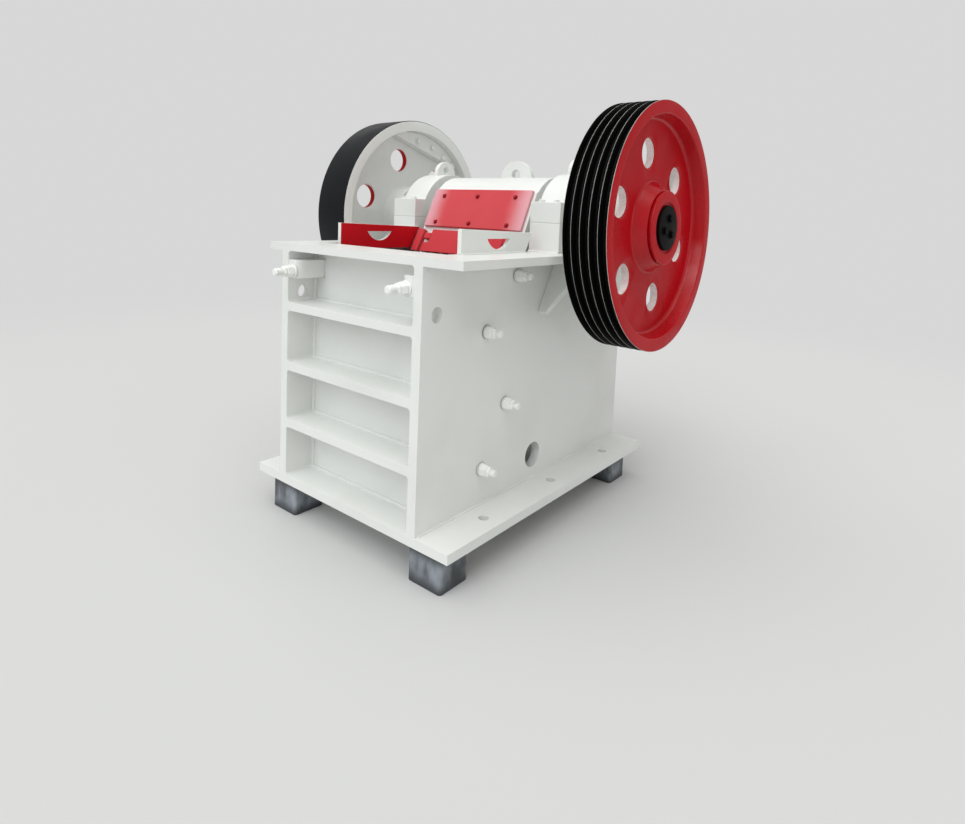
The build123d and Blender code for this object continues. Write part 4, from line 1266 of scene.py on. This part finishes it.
@dataclass
class FeedGuards:
    """Guard plates beside the feed opening, red inside and white outside."""

    edge: float = 0.003
    rear_band: float = 0.06
    rear_reach: float = 0.032
    rear_gap: float = 0.0005
    facing: float = 0.9
    leaning: float = 0.5

    def lengthen(self, guard: Piece) -> None:
        """Carry the left guard's rear end on past the bearing housing, as near as it goes.

        Args:
            guard: The guard, changed in place.
        """
        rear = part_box("left_feed_guard")[1][1] - self.rear_band
        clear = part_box("left_bearing_base")[1][0] + self.rear_gap
        for vertex in guard.data.vertices:
            if vertex.co.y > rear:
                vertex.co.y += self.rear_reach
                vertex.co.x = max(vertex.co.x, clear)

    def build(self) -> None:
        """Make both guards."""
        for side in Side:
            node = f"{side.value}_feed_guard"
            guard = merged_copy(node, f"{node}_dressed")
            if side is Side.LEFT:
                self.lengthen(guard)
            guard = soften(guard, self.edge)

            def rule(_: Vector, normal: Vector, inward: int = -side.sign) -> Finish:
                """Red on the face towards the feed opening and on the rear end."""
                at_rear = normal.y > self.leaning and abs(normal.x) < self.leaning
                return GUARD_RED if normal.x * inward > self.facing or at_rear else WHITE

            paint(guard, [WHITE, GUARD_RED], rule)
            fit(guard, Body.FRAME, [node])


@dataclass
class BearingHousings:
    """Split bearing housings with their cap bolts and end covers."""

    makers: BoltMaker
    edge: float = 0.003
    edge_steps: int = 3
    nut_radius: float = 0.012
    nut_height: float = 0.008
    bolt_inset_x: float = 0.034
    bolt_inset_y: float = 0.026
    end_band: float = 0.001
    cover_radius: float = 0.150
    cover_thickness: float = 0.014
    cover_gap: float = 0.002
    cover_edge: float = 0.004
    bore_edge: float = 0.002
    segments: int = 72
    screw_pitch: float = 0.132
    screw_count: int = 8
    screw_first: float = 22.5
    screw_radius: float = 0.009
    screw_height: float = 0.007

    def build(self) -> None:
        """Make both housings."""
        places: list[Spot] = []
        for side in Side:
            cap = f"{side.value}_bearing_cap"
            for node in (f"{side.value}_bearing_base", cap):
                dress(node, Body.FRAME, self.edge, WHITE, self.edge_steps)
            low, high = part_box(cap)
            shoulder = self.shoulder_height(cap)
            for x in (low[0] + self.bolt_inset_x, high[0] - self.bolt_inset_x):
                for y in (low[1] + self.bolt_inset_y, high[1] - self.bolt_inset_y):
                    places.append((Vector((x, y, shoulder)), Vector((0, 0, 1))))
        nuts = self.makers.heads("cap_nuts", places, WHITE, self.nut_radius, self.nut_height)
        fit(nuts, Body.FRAME)
        self.covers()

    def shoulder_height(self, cap: str) -> float:
        """Height of a cap's flat shoulders, at its front end."""
        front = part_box(cap)[0][1] + self.end_band
        return max(vertex.co.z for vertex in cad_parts[cap].data.vertices if vertex.co.y < front)

    def covers(self) -> None:
        """End covers round the shaft on both faces of each housing."""
        centre, bore = middle_of("eccentric_shaft"), radius_of("eccentric_shaft") + self.cover_gap
        screws: list[Spot] = []
        for side in Side:
            low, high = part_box(f"{side.value}_bearing_base")
            for face, out in ((low[0], -1), (high[0], 1)):
                end = face + out * self.cover_thickness
                outline = rounded([
                    (face, bore, 0), (face, self.cover_radius, 0), (end, self.cover_radius, self.cover_edge),
                    (end, bore, self.bore_edge)])
                name = f"{side.value}_cover_{'outer' if out == side.sign else 'inner'}"
                cover = turned(name, outline, centre, self.segments)
                shade_by_angle(cover)
                paint(cover, [WHITE])
                fit(cover, Body.FRAME)
                screws += [(round_axis(centre, end, self.screw_pitch, angle), Vector((out, 0, 0)))
                           for angle in angles(self.screw_count, self.screw_first)]
        heads = self.makers.heads("cover_screws", screws, WHITE, self.screw_radius, self.screw_height)
        fit(heads, Body.FRAME)


@dataclass
class SwingJaw:
    """Jaw casting, its shield with bolts, its clamp plate and its toothed plate."""

    makers: BoltMaker
    edge: float = 0.006
    edge_steps: int = 3
    plate_edge: float = 0.003
    tooth_edge: float = 0.004
    bolt_radius: float = 0.0075
    bolt_height: float = 0.006
    bolt_rows: Point2 = (0.11, 0.81)
    bolt_columns: Point3 = (-0.196, -0.010, 0.185)
    bore_band: float = 0.0015
    bore_gap: float = 0.0008
    face_band: float = 0.0005
    facing: float = 0.5
    upright: float = 0.1

    def build(self) -> None:
        """Make the jaw."""
        jaw = merged_copy("swing_jaw", "swing_jaw_dressed")
        self.open_bore(jaw)
        jaw = soften(jaw, self.edge, self.edge_steps)
        paint(jaw, [WHITE])
        fit(jaw, Body.SWING_JAW, ["swing_jaw"])
        dress("jaw_shield", Body.SWING_JAW, self.plate_edge, SHIELD_RED)
        dress("jaw_clamp_plate", Body.SWING_JAW, self.plate_edge, CLAMP_RED)
        dress("swing_jaw_plate", Body.SWING_JAW, self.tooth_edge, MANGANESE)
        self.shield_bolts()

    def open_bore(self, jaw: Piece) -> None:
        """Widen the bore a little, so that the flats of a turning shaft stay clear of it.

        Args:
            jaw: The jaw, changed in place.
        """
        axis, bore = middle_of("eccentric_shaft"), radius_of("eccentric_shaft")
        for vertex in jaw.data.vertices:
            off = Vector((0, vertex.co.y - axis.y, vertex.co.z - axis.z))
            if off.length < bore + self.bore_band:
                vertex.co += off.normalized() * self.bore_gap

    def shield_bolts(self) -> None:
        """Six small bolts in two rows on the shield."""
        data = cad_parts["jaw_shield"].data
        along = self.shield_line(data)
        out = Vector((0, -along.z, along.y))
        start, end = self.shield_ends(data, along, out)
        rows = [start.lerp(end, share) for share in self.bolt_rows]
        places = [(Vector((x, row.y, row.z)), out) for row in rows for x in self.bolt_columns]
        bolts = self.makers.heads("shield_bolts", places, BOLT_RED, self.bolt_radius, self.bolt_height)
        fit(bolts, Body.SWING_JAW)

    def shield_line(self, data: bpy.types.Mesh) -> Vector:
        """Unit direction up the shield's face.

        Args:
            data: The shield's mesh.

        Returns:
            The direction.
        """
        fronts = [f for f in data.polygons if f.normal.y < -self.facing and abs(f.normal.x) < self.upright]
        normal = max(fronts, key=lambda face: face.area).normal
        return Vector((0, normal.z, -normal.y)).normalized()

    def shield_ends(self, data: bpy.types.Mesh, along: Vector, out: Vector) -> tuple[Vector, Vector]:
        """The lowest and highest points, in the middle plane, of the shield's outer face.

        Args:
            data: The shield's mesh.
            along: Direction up the shield.
            out: Direction out of its face.

        Returns:
            The two points.
        """
        reach = max(vertex.co.dot(out) for vertex in data.vertices)
        face = [vertex.co for vertex in data.vertices if vertex.co.dot(out) > reach - self.face_band]
        low, high = min(face, key=along.dot), max(face, key=along.dot)
        return Vector((0, low.y, low.z)), Vector((0, high.y, high.z))


@dataclass
class Wheel:
    """What both wheels share: the shaft's axis, the hub and the pierced web."""

    hole_radius: float = 0.054
    hole_pitch: float = 0.273
    hole_count: int = 6
    hole_steps: int = 48
    first_angle: float = 12.0
    segments: int = 144
    flare: float = 0.006
    lip_degrees: tuple[int, ...] = (0, 27, 53)
    lip_rise: float = 0.005
    lip_spread: float = 0.011
    web_thickness: float = 0.036
    cone_radius: float = 0.169
    cone_length: float = 0.046
    cone_rounding: float = 0.012
    neck_radius: float = 0.137
    neck_rounding: float = 0.005
    groove_radius: float = 0.125
    groove_width: float = 0.006
    fine_rounding: float = 0.001
    disc_radius: float = 0.136
    disc_rounding: float = 0.002
    hub_end: float = 0.747
    hub_rounding: float = 0.004
    recess_radius: float = 0.095
    recess_depth: float = 0.006
    inner_hub: float = 0.142
    inner_hub_edge: float = 0.005
    inner_hub_root: float = 0.014
    rim_draft: float = 0.010
    rim_edge: float = 0.005
    rim_root: float = 0.016
    bore_clearance: float = 0.00005
    margin: float = 0.001
    inside_band: float = 0.004
    hole_facing: float = 0.95
    flat_facing: float = 0.96

    @property
    def centre(self) -> Vector:
        """A point on the shaft's axis."""
        return middle_of("eccentric_shaft")

    @property
    def bore(self) -> float:
        """Radius of the hub's bore."""
        return radius_of("eccentric_shaft") + self.bore_clearance

    def hub_corners(self, web_outer: float) -> list[Point3]:
        """Corners of the hub outside the web, as distance along the shaft, radius and rounding.

        Args:
            web_outer: Distance of the web's outer face from the machine's middle.

        Returns:
            The corners, from the web to the bore.
        """
        neck = web_outer + self.cone_length
        disc, seat = neck + self.groove_width, self.hub_end - self.recess_depth
        return [
            (web_outer, self.cone_radius, self.cone_rounding), (neck, self.neck_radius, self.neck_rounding),
            (neck, self.groove_radius, self.fine_rounding), (disc, self.groove_radius, self.fine_rounding),
            (disc, self.disc_radius, self.disc_rounding), (self.hub_end, self.disc_radius, self.hub_rounding),
            (self.hub_end, self.recess_radius, self.disc_rounding),
            (seat, self.recess_radius, self.fine_rounding), (seat, self.bore, 0),
        ]

    def hole_centres(self) -> list[Vector]:
        """A point on the axis of each hole in the web."""
        steps = angles(self.hole_count, self.first_angle)
        return [round_axis(self.centre, 0, self.hole_pitch, -angle) for angle in steps]

    def in_hole(self, place: Vector) -> bool:
        """Whether a place is on the wall of one of the web's holes."""
        reach = self.hole_radius + self.flare
        return any((place.yz - hole.yz).length < reach for hole in self.hole_centres())

    def pierced(self, wheel: Piece, x_from: float, x_to: float) -> Piece:
        """Cut the web's round holes, with a rounded lip at both faces.

        Args:
            wheel: The wheel, which is used up.
            x_from: One face of the web.
            x_to: The other face.

        Returns:
            The pierced wheel.
        """
        low, high = sorted((x_from, x_to))
        lip = []
        for turn in (math.radians(degrees) for degrees in self.lip_degrees):
            depth = self.flare * (1 - math.sin(turn))
            lip.append((depth, self.hole_radius + self.flare * (1 - math.cos(turn))))
        depth, reach = lip[-1]
        lip.append((depth - self.lip_rise, reach + self.lip_spread))
        stations = [(low + depth, reach) for depth, reach in reversed(lip)]
        stations += [(high - depth, reach) for depth, reach in lip]
        build = bmesh.new()
        steps = angles(self.hole_steps)
        for hole in self.hole_centres():
            loft(build, [[build.verts.new(round_axis(hole, x, reach, angle)) for angle in steps]
                         for x, reach in stations], False)
        return combine(wheel, solid_from("web_holes", build), Joining.CUT)


@dataclass
class Sheave(Wheel):
    """Grooved drive wheel: red outside, white towards the machine, black in its grooves."""

    groove_count: int = 5
    groove_depth: float = 0.020
    groove_mouth: float = 0.025
    mouth_rounding: float = 0.0012
    groove_bottom: float = 0.013
    bottom_rounding: float = 0.003
    crest_width: float = 0.0011
    crest_band: float = 0.0003
    web_outer: float = 0.685
    web_root: float = 0.018
    rim_outer_x: float = 0.742
    rim_inner: float = 0.410
    rim_inside_edge: float = 0.004
    rim_back_rounding: float = 0.002
    rim_front_rounding: float = 0.0015
    rim_edge_wear_and_highlight_band: float = 0.0012
    rim_facing: float = 0.97

    @property
    def web_inner(self) -> float:
        """x of the web's face towards the machine."""
        return self.web_outer - self.web_thickness

    def groove_corners(self, inner: float, radius: float) -> list[Point3]:
        """Corners of the grooves and of the ridges between them.

        Args:
            inner: x of the rim's inner face.
            radius: Radius of the rim.

        Returns:
            The corners, with their roundings.
        """
        pitch = (self.rim_outer_x - inner) / self.groove_count
        mouth, bottom, crest = self.groove_mouth / 2, self.groove_bottom / 2, self.crest_width / 2
        root = radius - self.groove_depth
        corners: list[Point3] = []
        for index in range(self.groove_count):
            middle = inner + (index + 0.5) * pitch
            corners += [
                (middle - mouth, radius, self.mouth_rounding), (middle - bottom, root, self.bottom_rounding),
                (middle + bottom, root, self.bottom_rounding), (middle + mouth, radius, self.mouth_rounding),
            ]
            if index < self.groove_count - 1:
                ridge = middle + pitch / 2
                corners += [(ridge - crest, radius, 0), (ridge + crest, radius, 0)]
        return corners

    def outline(self) -> list[Point2]:
        """The turned outline, as x and radius.

        Returns:
            The outline's points.
        """
        inner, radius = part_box("sheave")[0][0], radius_of("sheave")
        return rounded([
            (inner, self.bore, 0), (inner, self.inner_hub, self.inner_hub_edge),
            (self.web_inner, self.inner_hub, self.inner_hub_root),
            (self.web_inner, self.rim_inner, self.web_root), (inner, self.rim_inner, self.rim_inside_edge),
            (inner, radius, self.rim_back_rounding), *self.groove_corners(inner, radius),
            (self.rim_outer_x, radius, self.rim_front_rounding),
            (self.rim_outer_x, self.rim_inner, self.rim_edge),
            (self.web_outer, self.rim_inner - self.rim_draft, self.rim_root),
            *self.hub_corners(self.web_outer),
        ])

    def build(self) -> None:
        """Make the wheel."""
        wheel = turned("sheave_dressed", self.outline(), self.centre, self.segments)
        wheel = self.pierced(wheel, self.web_inner, self.web_outer)
        low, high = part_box("sheave")
        centre, inner = self.centre, low[0]
        radius = high[2] - centre.z
        pitch = (self.rim_outer_x - inner) / self.groove_count
        rim_from = radius - self.groove_depth - self.margin

        def rule(middle: Vector, normal: Vector) -> Finish:
            """Black on the grooved rim, with worn grey crests and outer edge that also paint thin highlights;
            white on the machine's side, red elsewhere.
            """
            reach, facing = (middle.yz - centre.yz).length, abs(normal.x)
            if reach > rim_from and facing < self.rim_facing and middle.x > inner + self.margin:
                off_crest = abs((middle.x - inner + pitch / 2) % pitch - pitch / 2)
                crest = reach > radius - self.crest_band and off_crest < self.crest_width / 2
                # The thin grey lines on the ridge crests and along the rim's outer edge are wear, and also
                # painted highlights.
                return WORN_GREY_AND_PAINTED_LIGHT if crest or middle.x > self.rim_outer_x - self.rim_edge_wear_and_highlight_band else GROOVE_BLACK
            on_web = self.web_inner - self.margin < middle.x < self.web_outer + self.margin
            if on_web and facing < self.hole_facing and self.in_hole(middle):
                return SPECKLED if middle.x < self.web_outer - self.flare else GLOSS_RED
            if middle.x < self.web_inner + self.inside_band:
                return WHITE
            return RED if facing > self.flat_facing else GLOSS_RED

        paint(wheel, [RED, WHITE, GROOVE_BLACK, SPECKLED, WORN_GREY_AND_PAINTED_LIGHT, GLOSS_RED], rule)
        shade_by_angle(wheel)
        fit(wheel, Body.ROTOR, ["sheave"])


@dataclass
class Flywheel(Wheel):
    """Smooth wheel: black rim, white towards the machine, red outside, with its counterweight."""

    makers: BoltMaker | None = None
    web_inner: float = 0.612
    rim_inner: float = 0.408
    rim_outer_x: float = 0.712
    rim_rounding: float = 0.006
    rim_inside_edge: float = 0.003
    rim_band: float = 0.004
    weight_edge: float = 0.003
    weight_bolts: tuple[Point2, ...] = ((3.7, 0.366), (20.0, 0.366), (34.7, 0.366), (46.0, 0.383))
    weight_bolt_radius: float = 0.013
    weight_bolt_height: float = 0.011
    weight_bolt_sides: int = 16

    @property
    def web_outer(self) -> float:
        """Distance of the web's outer face from the machine's middle."""
        return self.web_inner + self.web_thickness

    def outline(self) -> list[Point2]:
        """The turned outline, as x and radius.

        Returns:
            The outline's points.
        """
        inner, radius = -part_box("flywheel")[1][0], radius_of("flywheel")
        corners = [
            (inner, self.bore, 0), (inner, self.inner_hub, self.inner_hub_edge),
            (self.web_inner, self.inner_hub, self.inner_hub_root), (self.web_inner, self.rim_inner, 0),
            (inner, self.rim_inner, self.rim_inside_edge), (inner, radius, self.rim_rounding),
            (self.rim_outer_x, radius, self.rim_rounding), (self.rim_outer_x, self.rim_inner, self.rim_edge),
            (self.web_outer, self.rim_inner - self.rim_draft, self.rim_root),
            *self.hub_corners(self.web_outer),
        ]
        return rounded([(-x, reach, rounding) for x, reach, rounding in corners])

    def build(self) -> None:
        """Make the wheel and its counterweight."""
        wheel = turned("flywheel_dressed", self.outline(), self.centre, self.segments)
        wheel = self.pierced(wheel, -self.web_inner, -self.web_outer)
        centre = self.centre
        rim_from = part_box("flywheel")[1][2] - centre.z - self.rim_band

        def rule(middle: Vector, normal: Vector) -> Finish:
            """Black on the rim, white towards the machine, red outside."""
            out, facing = -middle.x, abs(normal.x)
            if (middle.yz - centre.yz).length > rim_from:
                return SATIN_BLACK
            if facing < self.hole_facing and out < self.web_outer + self.margin and self.in_hole(middle):
                return RED if out > self.web_inner + self.flare else WHITE
            if out < self.web_inner + self.inside_band:
                return WHITE
            return RED if facing > self.flat_facing else GLOSS_RED

        paint(wheel, [WHITE, RED, SATIN_BLACK, GLOSS_RED], rule)
        shade_by_angle(wheel)
        fit(wheel, Body.ROTOR, ["flywheel"])
        self.counterweight()

    def counterweight(self) -> None:
        """The counterweight with its round-headed bolts."""
        dress("flywheel_counterweight", Body.ROTOR, self.weight_edge, WHITE)
        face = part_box("flywheel_counterweight")[1][0]
        places = [(round_axis(self.centre, face, reach, math.radians(degrees)), Vector((1, 0, 0)))
                  for degrees, reach in self.weight_bolts]
        bolts = self.makers.heads("counterweight_bolts", places, WHITE, self.weight_bolt_radius,
                                  self.weight_bolt_height, self.weight_bolt_sides)
        fit(bolts, Body.ROTOR)


@dataclass
class ShaftEnds:
    """Shaft and its two bolted end caps."""

    makers: BoltMaker
    rounding: float = 0.003
    skin: float = 0.001
    pip: float = 0.0005
    segments: int = 72
    bolt_count: int = 3
    bolt_first: float = 12.0
    bolt_pitch: float = 0.036
    bolt_radius: float = 0.0135
    bolt_height: float = 0.0072

    def build(self) -> None:
        """Make both ends."""
        paint(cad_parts["eccentric_shaft"], [SHAFT_STEEL])
        bolt_rise = self.bolt_height * (1 + self.makers.washer_height)
        places: list[Spot] = []
        for side in Side:
            node = f"{side.value}_shaft_end_cap"
            low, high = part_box(node)
            seat, end = side.outward(low[0], high[0])
            face = end - side.sign * bolt_rise
            centre, radius = middle_of(node), radius_of(node) - self.skin
            outline = rounded([
                (seat, self.pip, 0), (seat, radius, 0), (face, radius, self.rounding), (face, self.pip, 0)])
            cap = turned(f"{node}_dressed", outline, centre, self.segments)
            shade_by_angle(cap)
            paint(cap, [BLACK])
            fit(cap, Body.ROTOR, [node])
            places += [(round_axis(centre, face, self.bolt_pitch, angle), Vector((side.sign, 0, 0)))
                       for angle in angles(self.bolt_count, self.bolt_first)]
        bolts = self.makers.heads("end_cap_bolts", places, GROOVE_BLACK, self.bolt_radius, self.bolt_height)
        fit(bolts, Body.ROTOR)


@dataclass
class CrushingChamber:
    """Fixed jaw plate and cheek plates."""

    edge: float = 0.004

    def build(self) -> None:
        """Make the liners."""
        for node in ("fixed_jaw_plate", "right_cheek_plate", "left_cheek_plate"):
            dress(node, Body.FRAME, self.edge, MANGANESE)


@dataclass
class TensionGear:
    """Toggle plate, tension rod and the spring coiled round it."""

    wire_radius: float = 0.0085
    wire_steps: int = 14
    turns: float = 5.5
    turn_steps: int = 40
    end_steps: int = 48
    edge: float = 0.002

    def spring_tree(self) -> GeometryTree:
        """A coil of round wire along z, with a closed ring at each end.

        Returns:
            The tree.
        """
        tree = GeometryTree("coil_spring")
        wire, coil, length, turns = tree.sizes("Wire Radius", "Coil Radius", "Length", "Turns")
        section = tree.circle(self.wire_steps, wire)
        ring = tree.swept(tree.circle(self.end_steps, coil), section, False)
        body = tree.swept(tree.coil(self.turn_steps, turns, coil, length), section)
        tree.close(tree.joined([body, tree.raised(ring, 0.0), tree.raised(ring, length)]), True)
        return tree

    def build(self) -> None:
        """Make the gear."""
        dress("toggle_plate", Body.FRAME, self.edge, FORGED)
        dress("tension_rod", Body.FRAME, self.edge, FORGED)
        low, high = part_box("tension_spring")
        seed = points_mesh("spring_seed", [(Vector((0, 0, 0)), Vector((0, 0, 1)))])
        spring = self.spring_tree().run("tension_spring_dressed", seed, SPRING_STEEL, {
            "Wire Radius": self.wire_radius, "Coil Radius": (high[0] - low[0]) / 2 - self.wire_radius,
            "Length": high[1] - low[1] - 2 * self.wire_radius, "Turns": self.turns})
        start = middle_of("tension_spring")
        start.y = low[1] + self.wire_radius
        spring.data.transform(Matrix.Translation(start) @ Matrix.Rotation(math.radians(-90), 4, "X"))
        fit(spring, Body.FRAME, ["tension_spring"])


@dataclass
class Feet:
    """Four square feet under the base."""

    edge: float = 0.003

    def build(self) -> None:
        """Make the feet."""
        dress("feet", Body.FRAME, self.edge, SLATE)


@dataclass(frozen=True)
class Lamp:
    """A far, wide light: its direction from the machine, brightness on white, width in degrees and tint."""

    name: str
    towards: Point3
    level: float
    spread: float
    tint: Colour
    distance: float = 6.0

    def hang(self) -> None:
        """Put the lamp up."""
        data = bpy.data.lights.new(self.name, "SUN")
        data.energy = self.level * math.pi
        data.angle = math.radians(self.spread)
        data.color = self.tint
        lamp = linked(self.name, data)
        lamp.location = Vector(self.towards) * self.distance
        lamp.rotation_euler = Vector(self.towards).to_track_quat("Z", "Y").to_euler()


@dataclass
class Studio:
    """Pale floor, soft light and the camera."""

    background: float = 0.68
    floor_tone: float = 0.61
    floor_radius: float = 14.0
    floor_segments: int = 96
    floor_roughness: float = 0.9
    floor_gloss: float = 0.1
    fade_from: float = 2.2
    fade_to: float = 6.5
    sky: float = 0.5
    sky_tint: Colour = (1.0, 1.0, 0.975)
    lamps: tuple[Lamp, ...] = (
        Lamp("key_light", (0.06, -0.78, 0.62), 0.32, 45, (0.93, 0.98, 1.0)),
        Lamp("top_light", (-0.02, -0.22, 0.97), 0.50, 75, (1.0, 1.0, 0.98)),
        Lamp("side_light", (0.93, -0.12, 0.16), 0.07, 40, (1.0, 0.99, 0.95)),
    )
    camera_place: Point3 = (1.6583, -2.0241, 1.1699)
    azimuth: float = 38.5778
    pitch: float = -5.0235
    roll: float = 2.3253
    focal_pixels: float = 626.74
    frame_width: int = 965
    sensor_width: float = 36.0
    shift_y: float = -0.15

    @staticmethod
    def grey(tone: float) -> tuple[float, float, float, float]:
        """An even grey."""
        return (tone, tone, tone, 1)

    def floor(self) -> None:
        """A pale round floor that fades into the background far away."""
        build = bmesh.new()
        bmesh.ops.create_circle(build, cap_ends=True, segments=self.floor_segments, radius=self.floor_radius)
        floor = object_from("studio_floor", build)
        graph = ShaderGraph("studio_floor")
        floor.data.materials.append(graph.finish({
            "Base Color": self.grey(self.floor_tone), "Roughness": self.floor_roughness,
            "Specular IOR Level": self.floor_gloss}))
        length = graph.add("ShaderNodeVectorMath", {0: graph.place}, operation="LENGTH").outputs["Value"]
        path = graph.add("ShaderNodeLightPath").outputs
        seen = graph.math("MAXIMUM", path["Is Camera Ray"], path["Is Glossy Ray"])
        glow = graph.add("ShaderNodeEmission", {"Color": self.grey(self.background)})
        mixed = graph.add("ShaderNodeMixShader", {
            0: graph.math("MULTIPLY", graph.between(length, self.fade_from, self.fade_to), seen),
            1: graph.surface.outputs[0], 2: glow.outputs[0]})
        graph.feed(graph.tree.nodes["Material Output"].inputs["Surface"], mixed.outputs[0])

    def world(self) -> None:
        """Even soft light from all round, with a plain backdrop for the camera."""
        world = bpy.data.worlds.new("studio")
        bpy.context.scene.world = world
        world.use_nodes = True
        graph = NodeGraph(world.node_tree)
        light = graph.tree.nodes["Background"]
        graph.feed(light.inputs["Color"], (*self.sky_tint, 1))
        graph.feed(light.inputs["Strength"], self.sky)
        backdrop = graph.add("ShaderNodeBackground", {"Color": self.grey(self.background)})
        mixed = graph.add("ShaderNodeMixShader", {
            0: graph.add("ShaderNodeLightPath").outputs["Is Camera Ray"],
            1: light.outputs[0], 2: backdrop.outputs[0]})
        graph.feed(graph.tree.nodes["World Output"].inputs["Surface"], mixed.outputs[0])

    def camera(self) -> None:
        """The camera at the photograph's angle."""
        data = bpy.data.cameras.new("studio_camera")
        data.sensor_fit = "HORIZONTAL"
        data.sensor_width = self.sensor_width
        data.lens = self.focal_pixels * self.sensor_width / self.frame_width
        data.shift_y = self.shift_y
        camera = linked("studio_camera", data)
        azimuth, pitch = math.radians(self.azimuth), math.radians(self.pitch)
        right = Vector((math.cos(azimuth), math.sin(azimuth), 0))
        forward = Vector((-right.y, right.x, 0)) * math.cos(pitch) + Vector((0, 0, math.sin(pitch)))
        level = Matrix((right, right.cross(forward), -forward)).transposed().to_4x4()
        tilt = Matrix.Rotation(math.radians(self.roll), 4, "Z")
        camera.matrix_world = Matrix.Translation(self.camera_place) @ level @ tilt
        bpy.context.scene.camera = camera

    def build(self) -> None:
        """Set up floor, light and camera."""
        bpy.context.scene.view_settings.view_transform = "Standard"
        self.floor()
        self.world()
        for lamp in self.lamps:
            lamp.hang()
        self.camera()


def main() -> None:
    """Build every sub-assembly in order."""
    logging.basicConfig(level=logging.INFO, format="%(name)s: %(message)s")
    makers = BoltMaker()
    assemblies = [
        WeldedFrame(makers), FeedGuards(), BearingHousings(makers), SwingJaw(makers), Sheave(),
        Flywheel(makers=makers), ShaftEnds(makers), CrushingChamber(), TensionGear(), Feet(), Studio(),
    ]
    for assembly in assemblies:
        assembly.build()
        LOG.info("%s done", type(assembly).__name__)


if __name__ == "__main__":
    main()
